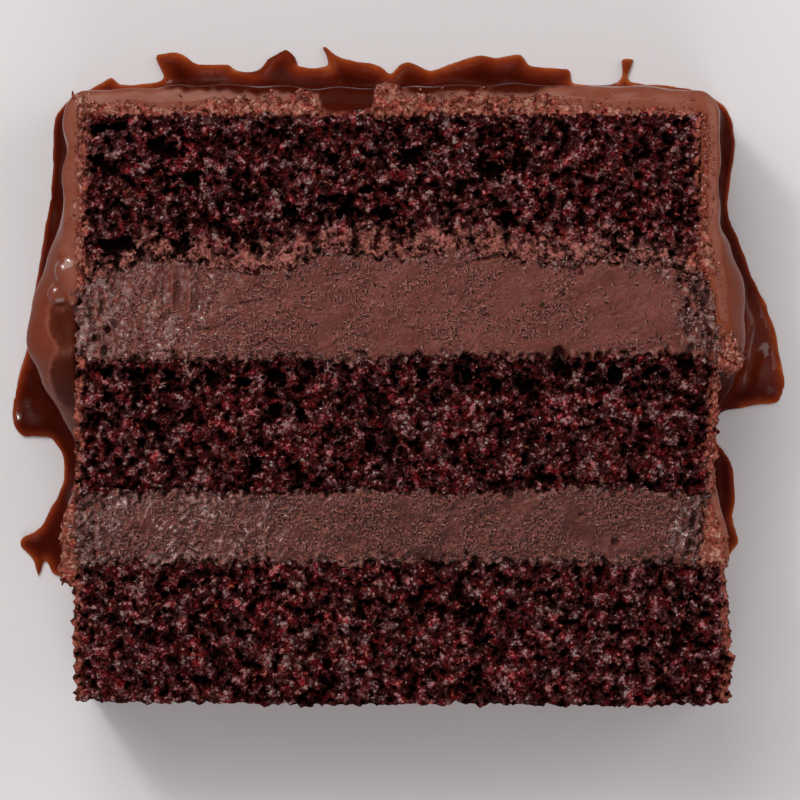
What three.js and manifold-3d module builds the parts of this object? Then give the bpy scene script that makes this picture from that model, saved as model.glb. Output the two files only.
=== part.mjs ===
// A slice of chocolate layer cake, lying flat on its back cut face with its front cut face up.
// Three layers of porous sponge and two ganache fillings run through the whole thickness of the slice.
// A poured glaze wraps the cake's left side, top and right side, and has sagged and run out into a thin pool.
//
// Frame, in millimetres: +Z points out of the shown cut face, +Y towards the cake's top, +X along the layers.
// The origin is the middle of the floor under the slice. The floor is z = 0.
import * as THREE from "three";
import { mergeVertices } from "three/addons/utils/BufferGeometryUtils.js";
import Module from "manifold-3d";

// ---- Driving dimensions ----

const THICKNESS = 32; // from the cut face that the slice lies on to the one that shows
const GAP = 0.3; // clearance between neighbouring pieces

// Heights of the layers' edges along the slice, as [x, y] points.
const GLAZE_SEAM = [[-52, 41.2], [-30, 41.6], [-8, 41.0], [15, 41.6], [35, 41.4], [50, 41.1]];
const UPPER_FILLING_TOP = [
  [-52, 14.6], [-46, 14.8], [-42, 17.6], [-36, 17.8], [-28, 16.0], [-20, 16.4], [-12, 18.8],
  [0, 18.4], [14, 18.6], [26, 17.2], [34, 17.6], [41, 17.4], [46, 14.8], [52, 14.2],
];
const UPPER_FILLING_FOOT = [[-52, 2.2], [-38, 1.2], [-20, 1.8], [-4, 1.2], [12, 2.2], [26, 1.6], [40, 2.4], [52, 1.4]];
const LOWER_FILLING_TOP = [[-52, -19.6], [-36, -19.2], [-18, -19.6], [-4, -18.8], [10, -19.4], [26, -18.8], [52, -19.6]];
const LOWER_FILLING_FOOT = [[-52, -31.6], [-30, -31.0], [-10, -31.4], [8, -31.0], [28, -31.4], [52, -31.6]];
const BASE = [[-52, -52.8], [-30, -53.2], [-8, -53.5], [14, -53.3], [34, -53.6], [53, -53.2]];

// Ends of the layers, as [y, x] points. The lowest sponge is the widest at its right end.
const LEFT_END = [[-54, -51.6], [-40, -52.0], [-20, -51.8], [0, -51.6], [18, -51.0], [42, -50.8]];
const RIGHT_END = [
  [-32, 48.9], [-24, 49.0], [-19, 50.0], [-8, 50.3], [0, 50.7], [6, 51.1], [12, 50.1], [18, 48.8], [42, 48.5],
];
const LOWEST_RIGHT_END = [[-54, 52.6], [-46, 53.0], [-32, 52.2]];

// The glaze's section along each side, as [place, rim, belly, foot, crest]. Rim, belly and foot are its reach out
// of the cake at its upper edge, at its fullest and where it meets the pool. Crest is how high it clings, as a
// fraction of the thickness. Place is y on the left and right, and x on the top.
const GLAZE_LEFT = [
  [-33.9, 2.0, 2.2, 2.8, 1], [-24.5, 2.0, 2.3, 3.2, 1], [-21.5, 1.2, 1.8, 3.0, 0.85], [-18.5, 0.8, 1.5, 3.0, 0.4],
  [-12, 0.8, 1.8, 3.2, 0.3], [-6, 1.2, 4.2, 6.0, 0.42], [-1, 2.0, 6.8, 8.2, 0.65], [3, 2.3, 8.2, 9.2, 0.9],
  [8, 2.6, 8.2, 9.2, 1], [14, 2.8, 7.1, 8.0, 1], [18, 2.8, 5.9, 6.8, 1], [22, 2.7, 4.2, 5.4, 1],
  [28, 2.5, 3.2, 4.6, 1], [40, 2.4, 3.0, 4.4, 1],
];
const GLAZE_TOP = [
  [-50, 3.4, 3.8, 4.6, 1], [-40, 3.8, 4.2, 5.2, 1], [0, 4.1, 4.4, 5.4, 1], [40, 4.0, 4.3, 5.1, 1],
  [48, 3.4, 3.9, 4.8, 1],
];
const GLAZE_RIGHT = [
  [-30.9, 2.4, 2.6, 3.8, 1], [-24, 2.4, 2.6, 3.8, 1], [-20.5, 1.2, 1.5, 3.0, 0.85], [-17, 0.7, 0.9, 2.2, 0.5],
  [-9, 0.7, 0.9, 1.5, 0.5], [-6.5, 0.8, 1.4, 2.2, 0.5], [-3, 1.6, 4.4, 6.2, 0.55], [0.5, 2.0, 4.4, 6.2, 0.9],
  [4, 2.2, 4.7, 6.2, 1], [8, 2.6, 4.8, 6.2, 1], [12, 3.0, 5.4, 6.4, 1], [16, 3.2, 5.8, 6.8, 1],
  [20, 3.0, 4.5, 5.6, 1], [23.5, 2.7, 3.1, 4.7, 1], [40, 2.8, 3.2, 4.8, 1],
];

// The pool's outer edge on the floor: from its lower left end up the left side, along the top and down the right.
const POOL_DEPTH = 1.5;
const POOL_EDGE = [
  // runner at the lower left
  [-53.4, -34.0], [-56.2, -33.9], [-57.5, -33.3], [-58.7, -31.4], [-59.7, -34.3], [-60.6, -31.3], [-62.6, -29.2],
  [-62.4, -27.5], [-59.5, -25.8], [-57.0, -21.3], [-55.4, -17.7], [-55.7, -13.9], [-57.8, -11.1],
  // broad lobe on the left
  [-60.6, -10.9], [-62.3, -10.8], [-63.8, -9.1], [-64.1, -5.6], [-62.5, 1.0], [-61.5, 4.3], [-60.3, 13.5],
  [-58.7, 23.4], [-57.5, 31.7], [-57.0, 42.0], [-53.7, 45.3],
  // drips along the top
  [-49.5, 47.6], [-47.6, 48.7], [-45.9, 47.3], [-41.3, 47.6], [-39.0, 48.6], [-40.4, 52.1], [-38.8, 52.7],
  [-36.3, 52.7], [-33.0, 50.9], [-28.3, 50.9], [-27.0, 49.9], [-23.6, 49.8], [-21.4, 51.9], [-18.9, 53.4],
  [-16.9, 52.1], [-16.6, 50.6], [-11.6, 50.5], [-12.8, 53.6], [-12.2, 53.9], [-9.8, 52.1], [-3.2, 50.6],
  [-1.4, 49.3], [0.0, 50.8], [1.8, 51.2], [5.1, 49.9], [8.4, 50.9], [13.4, 52.4], [16.2, 51.9], [20.0, 52.4],
  [21.7, 50.6], [28.0, 50.1], [29.0, 47.4], [35.0, 47.3], [37.0, 49.0], [36.8, 51.6], [38.9, 51.6], [37.9, 49.0],
  [38.8, 47.8], [48.2, 46.8],
  // round the top right corner to the lobe on the right
  [52.4, 44.9], [54.9, 42.3], [55.7, 37.5], [54.4, 27.5], [55.7, 23.4], [58.5, 15.9], [61.8, 8.5], [63.6, 0.2],
  [64.1, -2.6], [62.8, -5.2], [59.0, -5.6], [56.0, -6.3], [52.9, -6.9],
  // thin run beside the lower filling
  [52.3, -8.5], [52.4, -11.6], [54.0, -13.1], [55.3, -16.0], [55.8, -23.0], [56.3, -28.0], [55.2, -30.4],
  [52.4, -30.9],
];

// Large holes in the sponge's cut face, as [x, y, radius, depth].
const HOLES = [
  [-45.4, 20.0, 1.9, 2.6], [-42.6, 20.0, 1.6, 2.2], [-35.0, 20.2, 1.5, 2.4], [-33.1, 31.2, 1.9, 2.6],
  [-38.2, 35.2, 1.9, 2.4], [-48.6, 33.6, 1.4, 2.2], [1.8, 34.4, 1.7, 2.6], [28.0, 33.8, 1.7, 2.4],
  [-37.4, 0.2, 1.4, 2.0], [5.8, -1.0, 1.4, 2.0], [34.4, -5.2, 1.3, 1.8], [-15.0, -8.6, 1.5, 2.0],
  [-24.0, -40.0, 1.4, 1.8], [13.0, -38.0, 1.4, 1.8], [38.0, -43.0, 1.3, 1.8],
];

// How finely each piece is faceted.
const COLUMNS = 50;
const SPONGE_ROWS = 10;
const FILLING_ROWS = 7;
const WALL_LEVELS = [0.7, 0.34, 0]; // fractions of the thickness
const SIDE_STATIONS = 22;
const TOP_STATIONS = 24;
const CORNER_STATIONS = 4;

// Unevenness of the cut faces and the ends.
const CRUMB_RELIEF = 1.1;
const SMEAR_RELIEF = 0.45;
const TORN_EDGE = 0.9;
const END_EROSION = 0.35;
const POINT_JITTER = 0.22;

// ---- Helpers ----

/** A repeatable stream of numbers from 0 to 1. */
function randomStream(seed) {
  let state = seed;
  return () => {
    state = (state + 0x6d2b79f5) | 0;
    let mixed = Math.imul(state ^ (state >>> 15), 1 | state);
    mixed = (mixed + Math.imul(mixed ^ (mixed >>> 7), 61 | mixed)) ^ mixed;
    return ((mixed ^ (mixed >>> 14)) >>> 0) / 4294967296;
  };
}

/** The value at one place of a smooth curve through [place, value, ...] points, level past both ends. */
function along(points, place, field = 1) {
  const last = points.length - 1;
  if (place <= points[0][0]) return points[0][field];
  if (place >= points[last][0]) return points[last][field];
  const k = points.findIndex((point) => point[0] > place) - 1;
  const [before, from, to, after] = [Math.max(k - 1, 0), k, k + 1, Math.min(k + 2, last)].map((n) => points[n]);
  const span = to[0] - from[0];
  const slopeFrom = (to[field] - before[field]) / (to[0] - before[0]);
  const slopeTo = (after[field] - from[field]) / (after[0] - from[0]);
  const t = (place - from[0]) / span;
  return (
    (2 * t ** 3 - 3 * t ** 2 + 1) * from[field] +
    (t ** 3 - 2 * t ** 2 + t) * span * slopeFrom +
    (3 * t ** 2 - 2 * t ** 3) * to[field] +
    (t ** 3 - t ** 2) * span * slopeTo
  );
}

const lerp = THREE.MathUtils.lerp;

/** A closed surface as a three.js geometry. */
function closedGeometry(positions, index) {
  const geometry = new THREE.BufferGeometry();
  geometry.setAttribute("position", new THREE.Float32BufferAttribute(positions, 3));
  geometry.setIndex(index);
  return geometry;
}

// ---- Layers of the cake ----

/**
 * One layer as a closed body: a relieved cut face, a wall round it and a flat back on the floor.
 * lower and upper give y at x, left and right give x at y, and relief gives how deep the face lies at a point.
 */
function layerGeometry({ lower, upper, left, right, rows, relief, random }) {
  const positions = [];
  const index = [];
  const at = (column, row) => row * (COLUMNS + 1) + column;

  for (let row = 0; row <= rows; row++) {
    for (let column = 0; column <= COLUMNS; column++) {
      const onEdge = row === 0 || row === rows || column === 0 || column === COLUMNS;
      const jitter = () => (onEdge ? 0 : POINT_JITTER * (2 * random() - 1));
      const s = (column + jitter()) / COLUMNS;
      const t = (row + jitter()) / rows;
      const middle = lerp(left(0), right(0), s);
      const height = lerp(lower(middle), upper(middle), t);
      const x = lerp(left(height), right(height), s);
      const y = lerp(lower(x), upper(x), t);
      positions.push(x, y, THICKNESS - relief(x, y));
    }
  }
  for (let row = 0; row < rows; row++) {
    for (let column = 0; column < COLUMNS; column++) {
      const [a, b, c, d] = [at(column, row), at(column + 1, row), at(column + 1, row + 1), at(column, row + 1)];
      if ((row + column) % 2) index.push(a, b, c, a, c, d);
      else index.push(a, b, d, b, c, d);
    }
  }

  // The face's rim, anticlockwise from its lower left corner.
  const rim = [];
  for (let column = 0; column < COLUMNS; column++) rim.push(at(column, 0));
  for (let row = 0; row < rows; row++) rim.push(at(COLUMNS, row));
  for (let column = COLUMNS; column > 0; column--) rim.push(at(column, rows));
  for (let row = rows; row > 0; row--) rim.push(at(0, row));

  // The walls, level by level. The ends are worn back a little between the two cut faces.
  let above = rim;
  for (const level of WALL_LEVELS) {
    const ring = rim.map((vertex, n) => {
      const [x, y] = [positions[3 * vertex], positions[3 * vertex + 1]];
      const onLeft = n > 2 * COLUMNS + rows || n === 0;
      const onRight = n >= COLUMNS && n <= COLUMNS + rows;
      const inward = (onLeft ? 1 : 0) - (onRight ? 1 : 0);
      positions.push(x + inward * END_EROSION * random(), y, THICKNESS * level);
      return positions.length / 3 - 1;
    });
    for (let n = 0; n < ring.length; n++) {
      const next = (n + 1) % ring.length;
      index.push(above[n], ring[n], ring[next], above[n], ring[next], above[next]);
    }
    above = ring;
  }

  // The back, in strips across the layer, with a fan at each end.
  const back = above;
  const low = (column) => back[column];
  const high = (column) => back[2 * COLUMNS + rows - column];
  for (let column = 1; column < COLUMNS; column++) index.push(low(column), high(column), high(column + 1));
  for (let column = 0; column < COLUMNS - 1; column++) index.push(low(column), high(column + 1), low(column + 1));
  for (let row = 0; row < rows; row++) {
    const leftFrom = back[(back.length - row) % back.length];
    const leftTo = back[back.length - row - 1];
    index.push(leftFrom, leftTo, high(1));
    index.push(low(COLUMNS - 1), back[COLUMNS + row + 1], back[COLUMNS + row]);
  }
  return closedGeometry(positions, index);
}

/** How far a point lies under the face because of the large holes. */
function holeDepth(x, y) {
  return Math.max(
    0,
    ...HOLES.map(([hx, hy, radius, depth]) => depth * (1 - ((x - hx) ** 2 + (y - hy) ** 2) / radius ** 2)),
  );
}

/** A layer of sponge: crumbs and pores all over its cut face. */
function spongeGeometry({ lower, upper, left, right, seed }) {
  const random = randomStream(seed);
  const relief = (x, y) => holeDepth(x, y) + CRUMB_RELIEF * random() ** 2;
  return layerGeometry({ lower, upper, left, right, rows: SPONGE_ROWS, relief, random });
}

/** A layer of ganache: smeared and gently waved, and torn along its upper edge. */
function fillingGeometry({ lower, upper, left, right, seed }) {
  const random = randomStream(seed);
  const relief = (x, y) => {
    const wave = 0.5 + 0.3 * Math.sin(0.21 * x + 0.5 * y) + 0.2 * Math.sin(0.47 * x - 0.3 * y + seed);
    const torn = TORN_EDGE * random() * Math.exp(-(upper(x) - y) / 1.6);
    return SMEAR_RELIEF * wave + torn;
  };
  return layerGeometry({ lower, upper, left, right, rows: FILLING_ROWS, relief, random });
}

const seam = (points, shift) => (x) => along(points, x) + shift;
const leftEnd = (y) => along(LEFT_END, y);
const rightEnd = (y) => along(RIGHT_END, y);
const lowestRightEnd = (y) => along(LOWEST_RIGHT_END, y);

// ---- Glaze ----

/** The glaze's section at one station: points [reach out of the cake, height], anticlockwise from its outer foot. */
function glazeSection({ rim, belly, foot, crest }) {
  const top = Math.min(crest, 1) * THICKNESS;
  return [
    [foot, 0],
    [foot, 0.9],
    [lerp(foot, belly, 0.7), 0.14 * top],
    [belly, 0.36 * top],
    [belly, 0.58 * top],
    [lerp(belly, rim, 0.28), 0.76 * top],
    [lerp(belly, rim, 0.65), 0.89 * top],
    [rim, top - 1.3],
    [0.7 * rim, top - 0.4],
    [0.3 * rim, top - 0.2],
    [0, top - 0.7],
    [0, 0],
  ];
}

/** Stations round the cake, from the lower left end over the top to the lower right end. */
function glazeStations() {
  const stations = [];
  const add = (x, y, turn, table, place) => {
    const [rim, belly, foot, crest] = [1, 2, 3, 4].map((field) => along(table, place, field));
    stations.push({ x, y, out: [Math.cos(turn), Math.sin(turn)], rim, belly, foot, crest });
  };
  const topLeft = [leftEnd(GLAZE_SEAM[0][1]), GLAZE_SEAM[0][1]];
  const topRight = [rightEnd(GLAZE_SEAM.at(-1)[1]), GLAZE_SEAM.at(-1)[1]];
  const [leftFoot, rightFoot] = [GLAZE_LEFT[0][0], GLAZE_RIGHT[0][0]];
  for (let n = 0; n <= SIDE_STATIONS; n++) {
    const y = lerp(leftFoot, topLeft[1], n / SIDE_STATIONS);
    add(leftEnd(y) - GAP, y, Math.PI, GLAZE_LEFT, y);
  }
  for (let n = 1; n <= CORNER_STATIONS; n++) {
    const turn = Math.PI - (Math.PI / 2) * (n / CORNER_STATIONS);
    add(topLeft[0] + GAP * Math.cos(turn), topLeft[1] + GAP * Math.sin(turn), turn, GLAZE_TOP, topLeft[0]);
  }
  for (let n = 1; n <= TOP_STATIONS; n++) {
    const x = lerp(topLeft[0], topRight[0], n / TOP_STATIONS);
    add(x, along(GLAZE_SEAM, x) + GAP, Math.PI / 2, GLAZE_TOP, x);
  }
  for (let n = 1; n <= CORNER_STATIONS; n++) {
    const turn = (Math.PI / 2) * (1 - n / CORNER_STATIONS);
    add(topRight[0] + GAP * Math.cos(turn), topRight[1] + GAP * Math.sin(turn), turn, GLAZE_TOP, topRight[0]);
  }
  for (let n = 1; n <= SIDE_STATIONS; n++) {
    const y = lerp(topRight[1], rightFoot, n / SIDE_STATIONS);
    add(rightEnd(y) + GAP, y, 0, GLAZE_RIGHT, y);
  }
  return stations;
}

/** The glaze on the cake's sides and top: its section carried through every station, closed at both ends. */
function glazeWallGeometry(stations) {
  const sections = stations.map(glazeSection);
  const sides = sections[0].length;
  const positions = stations.flatMap(({ x, y, out }, n) =>
    sections[n].flatMap(([reach, height]) => [x + reach * out[0], y + reach * out[1], height]),
  );
  const index = [];
  for (let n = 0; n < stations.length - 1; n++) {
    for (let side = 0; side < sides; side++) {
      const next = (side + 1) % sides;
      const [a, b] = [n * sides + side, n * sides + next];
      const [c, d] = [a + sides, b + sides];
      index.push(a, b, d, a, d, c);
    }
  }
  const outline = sections[0].map(([reach, height]) => new THREE.Vector2(reach, height));
  const lastStation = (stations.length - 1) * sides;
  for (const [a, b, c] of THREE.ShapeUtils.triangulateShape(outline, [])) {
    index.push(a, c, b);
    index.push(lastStation + a, lastStation + b, lastStation + c);
  }
  return closedGeometry(positions, index);
}

/** The pool: its outer edge rounded through the drips, and back under the glaze. */
function poolGeometry(stations) {
  const edge = new THREE.CatmullRomCurve3(
    POOL_EDGE.map(([x, y]) => new THREE.Vector3(x, y, 0)),
    false,
    "centripetal",
  );
  const outer = edge.getPoints(2 * (POOL_EDGE.length - 1)).map(({ x, y }) => new THREE.Vector2(x, y));
  const inner = stations
    .map(({ x, y, out, foot }) => new THREE.Vector2(x + 0.4 * foot * out[0], y + 0.4 * foot * out[1]))
    .filter(({ y }) => y > GLAZE_LEFT[0][0] + GAP)
    .reverse();
  const shape = new THREE.Shape([...outer, ...inner]);
  return new THREE.ExtrudeGeometry(shape, { depth: POOL_DEPTH, bevelEnabled: false });
}

const wasm = await Module();
wasm.setup();

/** A closed geometry as a solid that can be joined to others. */
function solid(geometry) {
  const bare = geometry.clone();
  bare.deleteAttribute("normal");
  bare.deleteAttribute("uv");
  const merged = mergeVertices(bare, 1e-4);
  return new wasm.Manifold(
    new wasm.Mesh({
      numProp: 3,
      vertProperties: merged.attributes.position.array,
      triVerts: new Uint32Array(merged.index.array),
    }),
  );
}

/** The glaze as one body: the coat on the cake joined to the pool that it feeds. */
function glazeGeometry() {
  const stations = glazeStations();
  const joined = solid(glazeWallGeometry(stations)).add(solid(poolGeometry(stations)));
  const { vertProperties, triVerts } = joined.getMesh();
  return closedGeometry(vertProperties, Array.from(triVerts));
}

// ---- The slice ----

/** One named piece, faceted as it is built. */
function piece(name, geometry, color, roughness) {
  const flat = geometry.toNonIndexed();
  flat.computeVertexNormals();
  const material = new THREE.MeshStandardMaterial({ color, roughness, metalness: 0, flatShading: true });
  const mesh = new THREE.Mesh(flat, material);
  mesh.name = name;
  return mesh;
}

const SPONGE_COLOR = 0x36201c;
const GANACHE_COLOR = 0x5e3a33;
const GLAZE_COLOR = 0x5a2a1e;
const HALF_GAP = GAP / 2;

const cake = new THREE.Group();
cake.add(
  piece(
    "sponge_bottom",
    spongeGeometry({
      lower: seam(BASE, 0),
      upper: seam(LOWER_FILLING_FOOT, -HALF_GAP),
      left: leftEnd,
      right: lowestRightEnd,
      seed: 11,
    }),
    SPONGE_COLOR,
    0.9,
  ),
  piece(
    "filling_lower",
    fillingGeometry({
      lower: seam(LOWER_FILLING_FOOT, HALF_GAP),
      upper: seam(LOWER_FILLING_TOP, -HALF_GAP),
      left: leftEnd,
      right: rightEnd,
      seed: 22,
    }),
    GANACHE_COLOR,
    0.55,
  ),
  piece(
    "sponge_middle",
    spongeGeometry({
      lower: seam(LOWER_FILLING_TOP, HALF_GAP),
      upper: seam(UPPER_FILLING_FOOT, -HALF_GAP),
      left: leftEnd,
      right: rightEnd,
      seed: 33,
    }),
    SPONGE_COLOR,
    0.9,
  ),
  piece(
    "filling_upper",
    fillingGeometry({
      lower: seam(UPPER_FILLING_FOOT, HALF_GAP),
      upper: seam(UPPER_FILLING_TOP, -HALF_GAP),
      left: leftEnd,
      right: rightEnd,
      seed: 44,
    }),
    GANACHE_COLOR,
    0.55,
  ),
  piece(
    "sponge_top",
    spongeGeometry({
      lower: seam(UPPER_FILLING_TOP, HALF_GAP),
      upper: seam(GLAZE_SEAM, 0),
      left: leftEnd,
      right: rightEnd,
      seed: 55,
    }),
    SPONGE_COLOR,
    0.9,
  ),
  piece("glaze", glazeGeometry(), GLAZE_COLOR, 0.3),
);

export default cake;
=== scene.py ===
"""A slice of chocolate layer cake, lying on its back cut face with its front cut face up.

Each layer is a fine relief over its cut face, with walls that hang from its border. The glaze is grown as a
solid field on a grid, below zero inside it, and a skin is wrapped round it. Pores, crumbs, smears and drips
are in these shapes, so they are real geometry. Lengths are millimetres until a mesh is made. +Z points out of
the cut face and +Y towards the cake's top.
"""

import sys
import logging
import math
from dataclasses import dataclass
from enum import Enum

import bpy
import numpy as np
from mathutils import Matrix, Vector
from mathutils.bvhtree import BVHTree


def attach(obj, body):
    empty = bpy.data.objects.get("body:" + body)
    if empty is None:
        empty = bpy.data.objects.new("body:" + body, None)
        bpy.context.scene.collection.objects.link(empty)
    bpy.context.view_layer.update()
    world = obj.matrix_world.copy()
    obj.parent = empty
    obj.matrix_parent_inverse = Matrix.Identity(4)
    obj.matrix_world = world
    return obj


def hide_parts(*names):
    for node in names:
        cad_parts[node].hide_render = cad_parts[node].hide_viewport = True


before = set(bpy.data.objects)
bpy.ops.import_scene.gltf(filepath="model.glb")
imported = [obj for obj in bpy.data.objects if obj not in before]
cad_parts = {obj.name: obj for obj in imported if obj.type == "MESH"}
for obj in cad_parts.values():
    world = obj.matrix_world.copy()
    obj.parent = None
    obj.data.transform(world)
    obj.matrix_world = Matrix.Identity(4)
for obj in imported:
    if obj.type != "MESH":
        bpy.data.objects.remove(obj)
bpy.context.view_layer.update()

log = logging.getLogger("cake")

Array = np.ndarray
Socket = bpy.types.NodeSocket
Table = list[list[float]]
Colour = tuple[float, float, float]
Place = tuple[float, float, float]
Spot = tuple[float, float, float, float]  # x, y and two half widths
Layers = tuple[tuple[float, float, int], ...]  # strength and size of each grain, and a lift of its own

METRES = 0.001  # in one millimetre
BODY = "root"


class Slot(Enum):
    """The record's material slots."""

    SPONGE = "sponge"
    GANACHE = "ganache"
    GLAZE = "glaze"


# ---- Sizes shared by the layers ----

THICKNESS = 32.0
CUT_FACE = THICKNESS - 0.45  # the mean height of the cut face, under the highest crumbs
TOUCH = 0.12  # how far neighbouring layers press into each other

GLAZE_SEAM = [[-52, 41.2], [-30, 41.6], [-8, 41.0], [15, 41.6], [35, 41.4], [50, 41.1]]
UPPER_FILLING_TOP = [
    [-52, 14.6], [-46, 14.8], [-42, 17.6], [-36, 17.8], [-28, 16.0], [-20, 16.4], [-12, 18.8],
    [0, 18.4], [14, 18.6], [26, 17.2], [34, 17.6], [41, 17.4], [46, 14.8], [52, 14.2],
]
UPPER_FILLING_FOOT = [
    [-52, 2.2], [-38, 1.2], [-20, 1.8], [-4, 1.2], [12, 2.2], [26, 1.6], [40, 2.4], [52, 1.4],
]
LOWER_FILLING_TOP = [
    [-52, -19.6], [-36, -19.2], [-18, -19.6], [-4, -18.8], [10, -19.4], [26, -18.8], [52, -19.6],
]
LOWER_FILLING_FOOT = [[-52, -31.6], [-30, -31.0], [-10, -31.4], [8, -31.0], [28, -31.4], [52, -31.6]]
BASE = [[-52, -52.8], [-30, -53.2], [-8, -53.5], [14, -53.3], [34, -53.6], [53, -53.2]]

# Above this the glaze over the cake's top edge is dark and wet.
DARK_FROM = [
    [-54, 46.0], [-48, 45.3], [-31, 44.8], [-24, 44.2], [-16, 44.2], [-13, 43.9], [-12.3, 41.5], [-4.5, 41.4],
    [-3.5, 44.6], [5, 44.0], [11, 44.6], [20, 44.2], [24, 45.1], [29, 45.8], [54, 46.2],
]
# How far up the top edge the dragged crumbs reach.
CRUMBS_TO = [
    [-50.5, 44.2], [-47.5, 42.9], [-44, 43.4], [-38, 42.5], [-33, 42.8], [-30, 43.8], [-25.5, 44.1],
    [-22.5, 43.6], [-20.3, 44.6], [-18, 43.6], [-16.6, 44.5], [-13.6, 44.4], [-12.6, 42.0], [-4.6, 42.2],
    [-3.6, 45.6], [-0.4, 45.4], [0.8, 44.4], [5, 44.5], [6.8, 43.7], [10, 44.5], [14, 44.2], [17, 44.5],
    [20, 44.0], [23, 44.6], [26, 43.4], [29, 42.7], [38, 42.6], [43, 42.3], [48.4, 42.0],
]

LEFT_END = [[-54, -51.6], [-40, -52.0], [-20, -51.8], [0, -51.6], [18, -51.0], [42, -50.8]]
RIGHT_END = [
    [-32, 48.9], [-24, 49.0], [-19, 50.0], [-8, 50.3], [0, 50.7], [6, 51.1], [12, 50.1], [18, 48.8],
    [42, 48.5],
]
LOWEST_RIGHT_END = [[-54, 52.6], [-46, 53.0], [-32, 52.2]]


# ---- Fields and skins ----


def through(points: Table, place: Array, column: int = 1) -> Array:
    """Reads a smooth curve through given points, level past both ends.

    Args:
        points: Rows of [place, value, ...] in rising order of place.
        place: Where to read the curve.
        column: Which value of each row to read.

    Returns:
        The value at each place.
    """
    rows = np.asarray(points, np.float32)
    at, value = rows[:, 0], rows[:, column]
    slope = np.zeros_like(value)
    slope[1:-1] = (value[2:] - value[:-2]) / (at[2:] - at[:-2])
    slope[0] = (value[1] - value[0]) / (at[1] - at[0])
    slope[-1] = (value[-1] - value[-2]) / (at[-1] - at[-2])
    spot = np.clip(place, at[0], at[-1])
    k = np.clip(np.searchsorted(at, spot, side="right") - 1, 0, len(at) - 2)
    span = at[k + 1] - at[k]
    t = (spot - at[k]) / span
    return (
        (2 * t**3 - 3 * t**2 + 1) * value[k]
        + (t**3 - 2 * t**2 + t) * span * slope[k]
        + (3 * t**2 - 2 * t**3) * value[k + 1]
        + (t**3 - t**2) * span * slope[k + 1]
    )


def ramp(values: Array, low: float, high: float) -> Array:
    """Rises smoothly from 0 at low to 1 at high."""
    t = np.clip((values - low) / (high - low), 0, 1)
    return t * t * (3 - 2 * t)


def soft_min(a: Array, b: Array, reach: float) -> Array:
    """Joins two solids with a fillet of about the given reach."""
    blend = np.maximum(reach - np.abs(a - b), 0) / reach
    return np.minimum(a, b) - blend * blend * reach / 4


def soft_max(a: Array, b: Array, reach: float) -> Array:
    """Keeps what lies in both solids, with the edge between them rounded."""
    return -soft_min(-a, -b, reach)


def bell(values: Array, width: float | Array) -> Array:
    """Is 1 at zero and fades out on both sides within about two widths."""
    return np.exp(-((values / width) ** 2))


def turned(x: Array, y: Array, degrees: float) -> tuple[Array, Array]:
    """Coordinates along and across a direction that leans some degrees from +X."""
    cos, sin = math.cos(math.radians(degrees)), math.sin(math.radians(degrees))
    return cos * x + sin * y, cos * y - sin * x


def spot_reach(spot: Spot, x: Array, y: Array) -> Array:
    """The squared distance from a spot's middle, in its half widths."""
    middle_x, middle_y, wide, tall = spot
    return ((x - middle_x) / wide) ** 2 + ((y - middle_y) / tall) ** 2


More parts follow.
